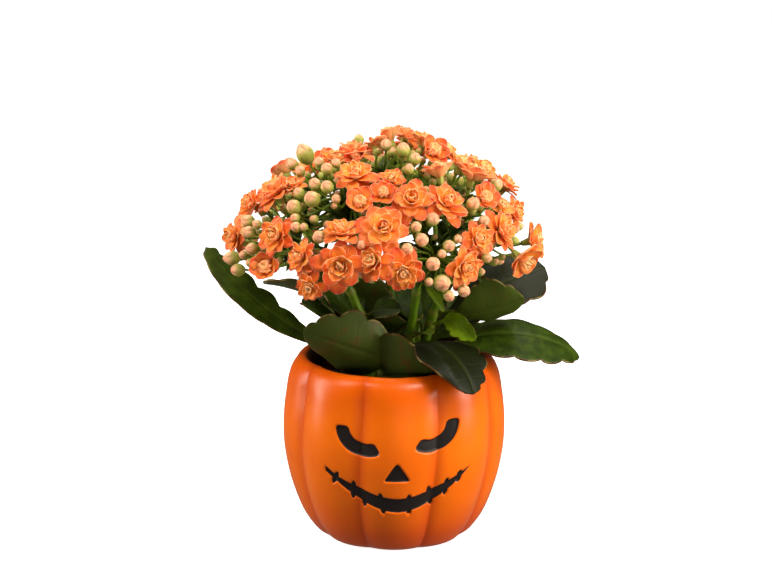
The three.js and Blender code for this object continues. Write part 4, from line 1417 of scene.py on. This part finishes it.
def add_bud(builder, bud, ripe, chance):
    """An egg with four twisted seams that meet at its tip, and sepals round its foot."""
    turn = bud_frame(bud.facing, chance.uniform(0, 6.3))
    radius = min(bud.full, bud.radius * 1.15)
    tall = radius * (1.3 if bud.long else 1.14)
    twist = chance.uniform(0.3, 0.9)
    foot = bud.place - bud.facing * tall * 0.92

    def move(x, y, z):
        around = math.atan2(y, x)
        seam = abs(math.cos(2 * (around + twist * z))) ** 16
        seam *= smooth(-0.5, 0.3, z)
        point = 1 - (0.2 if bud.long else 0.12) * smooth(0, 1, z)
        wide = radius * point * (1 - 0.07 * seam)
        marks = {"along": (z + 1) / 2, "seam": seam, "green": 1 - ripe}
        return bud.place + turn @ Vector((x * wide, y * wide, z * tall)), marks

    builder.add(bud_form if radius > SMALL_BUD else small_bud_form, move)
    length = radius * (1.9 if bud.long else 1.25)
    add_sepals(builder, foot, turn, radius * 0.4, length, radius * 0.45, 46)


def add_bract(builder, foot, direction, length, width):
    """A narrow folded leaf that grows beside a branch."""
    turn = direction.to_track_quat("X", "Z")

    def move(x, y, z):
        along, up = arc(x * length, 0.5, -0.9 * x)
        half = width * math.sin(math.pi * (0.1 + 0.9 * x)) ** 0.7 + 0.02
        lift = up + 0.45 * half * y * y + z * 0.4 * (1 - 0.6 * y * y)
        return foot + turn @ Vector((along, y * half, lift)), {"green": 1, "dark": 1}

    builder.add(bract_form, move, 1)


# %% The finish of buds
bud_skin = Finish("peach_bud", {"IOR": 1.4, "Subsurface Weight": 0.15, "Subsurface Scale": 0.001})
tip_share = bud_skin.own("along")
seam_line = bud_skin.own("seam")
greenness = bud_skin.own("green")
petal_cloud = bud_skin.clouds(1.6)
soft_cloud = bud_skin.smooth(petal_cloud, 0.3, 0.7)
peach = bud_skin.mix(soft_cloud, colour(236, 168, 128), colour(244, 190, 150))
peach = bud_skin.mix(bud_skin.smooth(tip_share, 0.8, 1.0) * 0.4, peach, colour(228, 120, 90))
peach = bud_skin.mix(seam_line * 0.75, peach, colour(150, 92, 46))
sap = bud_skin.mix(petal_cloud, colour(134, 142, 44), colour(182, 180, 92))
low_half = 1 - bud_skin.smooth(tip_share - greenness * 0.4, 0.28, 0.72)
bud_skin.bump(petal_cloud, 0.12)
bud_skin.surface(bud_skin.mix(low_half, peach, sap), 0.48 + petal_cloud * 0.1)
print("bud finish nodes", len(bud_skin.tree.nodes))

# %% The finish of stalks and bracts
stalk_skin = Finish("flower_stalk", {"IOR": 1.4})
stalk_cloud = stalk_skin.clouds(2.5, detail=3.0)
stalk_green = stalk_skin.mix(stalk_cloud, colour(78, 104, 10), colour(118, 140, 34))
stalk_green = stalk_skin.mix(stalk_skin.own("dark") * 0.75, stalk_green, colour(34, 54, 4))
stalk_skin.bump(stalk_cloud, 0.1)
stalk_skin.surface(stalk_green, 0.45 + stalk_cloud * 0.1)
print("stalk finish nodes", len(stalk_skin.tree.nodes))

# %% The lines and widths of branches and stalks
BRANCH_RADIUS, STALK_RADIUS, KNOB_RADIUS = 1.3, 0.72, 1.75


def branch_line(stem, hub, lateral):
    """From near the stem's top, or from its side, to the head's middle."""
    foot, along = STEMS[stem].at(0.9 if lateral else 0.985)
    reach = (hub - foot).length
    return Line([foot, foot + along * reach * 0.25 + (hub - foot) * 0.2, hub])


def stalk_line(hub, along, foot, facing):
    """From the head's middle to a flower's foot, which it meets from straight behind."""
    reach = (foot - hub).length
    leave = hub + along * reach * 0.18 + (foot - hub) * 0.3
    return Line([hub, leave, foot - facing * reach * 0.22, foot])


def branch_radius(share, around):
    return BRANCH_RADIUS * (1.1 - 0.25 * share)


def bloom_stalk_radius(share, around):
    return STALK_RADIUS * (1 + 0.25 * share**4)


def bud_stalk_radius(share, around):
    return STALK_RADIUS * 0.85


# %% Making the heads' stalks and buds
BRACTS = {"count": 20, "length": (12, 23), "width": (2.4, 5.0)}
PLAIN_GREEN = {"seam": 0, "green": 1}
chance = random.Random(SEEDS["stalks"])

for name, (stem, hub, lateral) in HEADS.items():
    head = Builder("along", "seam", "green", "dark")
    branch = branch_line(stem, hub, lateral)
    along = branch.at(1)[1]

    def add_stalk(line, radius):
        add_rod(head, stalk_form, STALK_STEPS, line, radius, PLAIN_GREEN, 1)

    def knob(x, y, z):
        return hub + Vector((x, y, z)) * KNOB_RADIUS, {"along": 0, **PLAIN_GREEN}

    add_stalk(branch, branch_radius)
    head.add(bud_form, knob, 1)
    for bloom in blooms:
        if nearest_head(bloom.place) == name:
            foot = bloom.place - bloom.facing * (BLOOM_HEIGHT - 0.6)
            add_stalk(stalk_line(hub, along, foot, bloom.facing), bloom_stalk_radius)
    for bud in [*buds, *deep_buds]:
        if bud.node == name:
            foot = bud.place - bud.facing * bud.radius
            add_stalk(stalk_line(hub, along, foot, bud.facing), bud_stalk_radius)
            ripe = chance.uniform(0, 0.4) if bud in deep_buds else chance.uniform(0.3, 1)
            add_bud(head, bud, ripe, chance)
    for _ in range(BRACTS["count"]):
        aside = Vector([chance.uniform(-1, 1) for _ in range(3)])
        out = (hub - DOME["middle"]).normalized() + aside
        foot = branch.at(chance.uniform(0.5, 1))[0]
        length, width = chance.uniform(*BRACTS["length"]), chance.uniform(*BRACTS["width"])
        add_bract(head, foot, out.normalized(), length, width)
    short = name.removeprefix("flower_head_")
    skins = [bud_skin.material, stalk_skin.material]
    piece = head.piece(f"stalks_and_buds_{short}", skins, "stalk", name)
    print(piece.name, triangles(piece))

# %% [markdown]
# ## Double blooms
# A double kalanchoe bloom is a tiny rose: about thirty petals in a spiral on a short green tube.
# The outer ones lie nearly flat with their tips bent back, the next ones stand higher, and the
# innermost curl over the middle. A young one shows fewer. Each petal goes on at the golden
# angle from the last, as in nature, and gets its own length, tilt and ruffle from seeded chance.

# %% Shaping a petal
PETAL_STEPS = {"along": 7, "across": 4, "layers": 1}
Petal = namedtuple("Petal", "rise bend length width base height cup ruffle phase inner blunt")
petal_form = slab_form(**PETAL_STEPS)
print("petal faces", len(petal_form.polygons))


def add_petal(builder, foot, turn, petal, tint):
    """A petal that leaves the tube at an angle and bends along its length."""
    first, bend = math.radians(petal.rise), math.radians(petal.bend)

    def move(x, y, z):
        row = math.sin(math.pi / 2 * x) ** 0.9
        half = petal.width / 2 * (0.2 + 0.8 * smooth(0, 0.62, row)) * (1 - row**petal.blunt) ** 0.6
        out, up = arc(row * petal.length, first, bend * row)
        here = first + bend * row
        lift = petal.cup * half * y * y * (1 - 0.35 * row) + z * 0.13 * (1 - 0.5 * y * y)
        lift += petal.ruffle * row * row * math.sin(4.2 * y + petal.phase)
        out += petal.base - math.sin(here) * lift
        up += petal.height + math.cos(here) * lift
        marks = {
            "along": row, "across": y, "inner": petal.inner, "underside": (1 - z) / 2, "tint": tint,
        }
        return foot + turn @ Vector((out, y * half, up)), marks

    builder.add(petal_form, move)


# %% The petals of open blooms
def full_petals(radius, chance):
    """The petals of a full open bloom, from the outermost in."""
    count = 36 if radius > 8 else 28
    for i in range(count):
        inner = i / (count - 1)
        yield Petal(
            rise=lerp(6, 82, inner**0.75) + chance.uniform(-9, 9),
            bend=lerp(-32, 52, inner) + chance.uniform(-16, 16),
            length=radius * lerp(1.06, 0.5, inner**0.85) * chance.uniform(0.88, 1.1),
            width=radius * lerp(0.78, 0.36, inner**0.8) * chance.uniform(0.85, 1.12),
            base=lerp(0.9, 0.2, inner), height=lerp(4.6, 6.2, inner), cup=lerp(0.2, 0.9, inner),
            ruffle=lerp(0.9, 0.3, inner) * chance.uniform(0.2, 1), phase=chance.uniform(0, 6.3),
            inner=inner, blunt=3.4,
        )


def loose_petals(radius, chance):
    """The petals of an older bloom, which lie wide open and show their faces."""
    count = 26
    for i in range(count):
        inner = i / (count - 1)
        yield Petal(
            rise=lerp(2, 72, inner**0.95) + chance.uniform(-11, 11),
            bend=lerp(-24, 30, inner) + chance.uniform(-18, 18),
            length=radius * lerp(1.06, 0.5, inner) * chance.uniform(0.86, 1.08),
            width=radius * lerp(0.82, 0.44, inner) * chance.uniform(0.85, 1.1),
            base=lerp(1.0, 0.2, inner), height=lerp(5.0, 6.2, inner), cup=lerp(0.14, 0.45, inner),
            ruffle=0.8 * chance.uniform(0.2, 1), phase=chance.uniform(0, 6.3),
            inner=0.6 * inner, blunt=4.5,
        )


# %% The petals of young blooms
def raised_petals(radius, chance):
    """The petals of a young bloom, which stand round like a crown and show their pale backs."""
    for i in range(20):
        outer = i < 8
        yield Petal(
            rise=chance.uniform(20, 50) if outer else chance.uniform(52, 80),
            bend=chance.uniform(-18, 14) if outer else chance.uniform(0, 50),
            length=radius * (1.12 if outer else 0.84) * chance.uniform(0.88, 1.06),
            width=radius * (0.9 if outer else 0.66) * chance.uniform(0.88, 1.1),
            base=1.2 if outer else 0.7, height=4.4 if outer else 5.0, cup=0.5 if outer else 0.7,
            ruffle=0.5 * chance.random(), phase=chance.uniform(0, 6.3),
            inner=0.3 if outer else 0.85, blunt=7.0,
        )


def cup_petals(radius, chance):
    """The petals of a half-open bloom: a ring of spread ones round a closed ball."""
    for i in range(16):
        outer = i < 6
        yield Petal(
            rise=chance.uniform(22, 42) if outer else chance.uniform(64, 76),
            bend=chance.uniform(4, 30) if outer else chance.uniform(80, 100),
            length=radius * (1.1 if outer else 0.92) * chance.uniform(0.92, 1.05),
            width=radius * (1.0 if outer else 0.84) * chance.uniform(0.9, 1.1),
            base=1.1 if outer else 0.75, height=4.4 if outer else 4.8, cup=0.45 if outer else 0.85,
            ruffle=0.3 * chance.random(), phase=chance.uniform(0, 6.3),
            inner=0.02 if outer else lerp(0.55, 0.8, (i - 6) / 9), blunt=5.0,
        )


# %% The petals' finish
petal_skin = Finish("orange_petal", {
    "IOR": 1.38, "Specular IOR Level": 0.35, "Subsurface Weight": 0.25,
    "Subsurface Scale": 0.0012,
})
along = petal_skin.own("along")
side = abs(petal_skin.own("across"))
inner = petal_skin.own("inner")
under = petal_skin.smooth(petal_skin.own("underside"), 0.4, 0.6)
tint = petal_skin.own("tint")
flecks = petal_skin.clouds(1.5)
coral = petal_skin.mix(tint, colour(242, 102, 40), colour(253, 148, 68))
warm = petal_skin.mix(petal_skin.smooth(inner, 0.05, 0.5), coral, colour(254, 168, 64))
warm = petal_skin.mix(petal_skin.smooth(inner, 0.45, 1.0), warm, colour(255, 206, 116))
warm = petal_skin.mix((1 - petal_skin.smooth(along, 0.15, 0.7)) * 0.7, warm, colour(250, 152, 34))
warm = petal_skin.mix(petal_skin.smooth(flecks, 0.4, 0.8) * 0.2, warm, colour(252, 170, 100))
warm = petal_skin.mix(under * 0.7, warm, colour(252, 184, 128))
near_tip = petal_skin.smooth(along, 0.55, 0.95)
edge = petal_skin.larger(petal_skin.smooth(side, 0.6, 1.0), near_tip)
warm = petal_skin.mix(edge * 0.8 * (1 - inner * 0.85), warm, colour(234, 78, 52))
at_tip = petal_skin.smooth(along, 0.965, 1.0)
lip = petal_skin.larger(petal_skin.smooth(side, 0.86, 1.0), at_tip)
warm = petal_skin.mix(lip * (0.4 + inner * 0.4), warm, colour(255, 224, 168))
petal_skin.bump(flecks, 0.08)
petal_skin.surface(warm, 0.52 + flecks * 0.12)
print("petal finish nodes", len(petal_skin.tree.nodes))

# %% Making the blooms
PETALS = {FULL: full_petals, LOOSE: loose_petals, RAISED: raised_petals, CUP: cup_petals}
GOLDEN_ANGLE = math.radians(137.508)
FULLNESS = 1.1
TINT_SPREAD = 0.3
TUBE = {"foot": 1.15, "full": 1.9, "tall": 6}
BLOOM_MARKS = ("along", "across", "inner", "underside", "tint", "seam", "green")
tube_form = rod_form(12, 6)
chance = random.Random(SEEDS["blooms"])
bloom_triangles = 0
for i, bloom in enumerate(blooms):
    rose = Builder(*BLOOM_MARKS)
    turn = bud_frame(bloom.facing, chance.uniform(0, 6.3))
    foot = bloom.place - bloom.facing * BLOOM_HEIGHT
    tint = chance.random()
    for k, petal in enumerate(PETALS[bloom.kind](bloom.full * FULLNESS, chance)):
        around = Quaternion((0, 0, 1), k * GOLDEN_ANGLE + chance.uniform(-0.12, 0.12))
        petal_tint = tint + chance.uniform(-TINT_SPREAD, TINT_SPREAD)
        add_petal(rose, foot, turn @ around, petal, petal_tint)

    def tube(x, y, z):
        widened = lerp(TUBE["foot"], TUBE["full"], smooth(0, 0.5, z))
        thick = widened * (1 - 0.5 * smooth(0.8, 1, z))
        marks = {"along": 0.1 + 0.4 * z, "green": 0.6}
        return foot + turn @ Vector((x * thick, y * thick, z * TUBE["tall"])), marks

    rose.add(tube_form, tube, 1)
    add_sepals(rose, foot + bloom.facing * 0.4, turn, 1.2, 5.2, 1.15, 26, 1)
    skins = [petal_skin.material, bud_skin.material]
    piece = rose.piece(f"double_bloom_{i + 1:02d}", skins, "petal", bloom.node)
    bloom_triangles += triangles(piece)
print("bloom triangles", bloom_triangles)
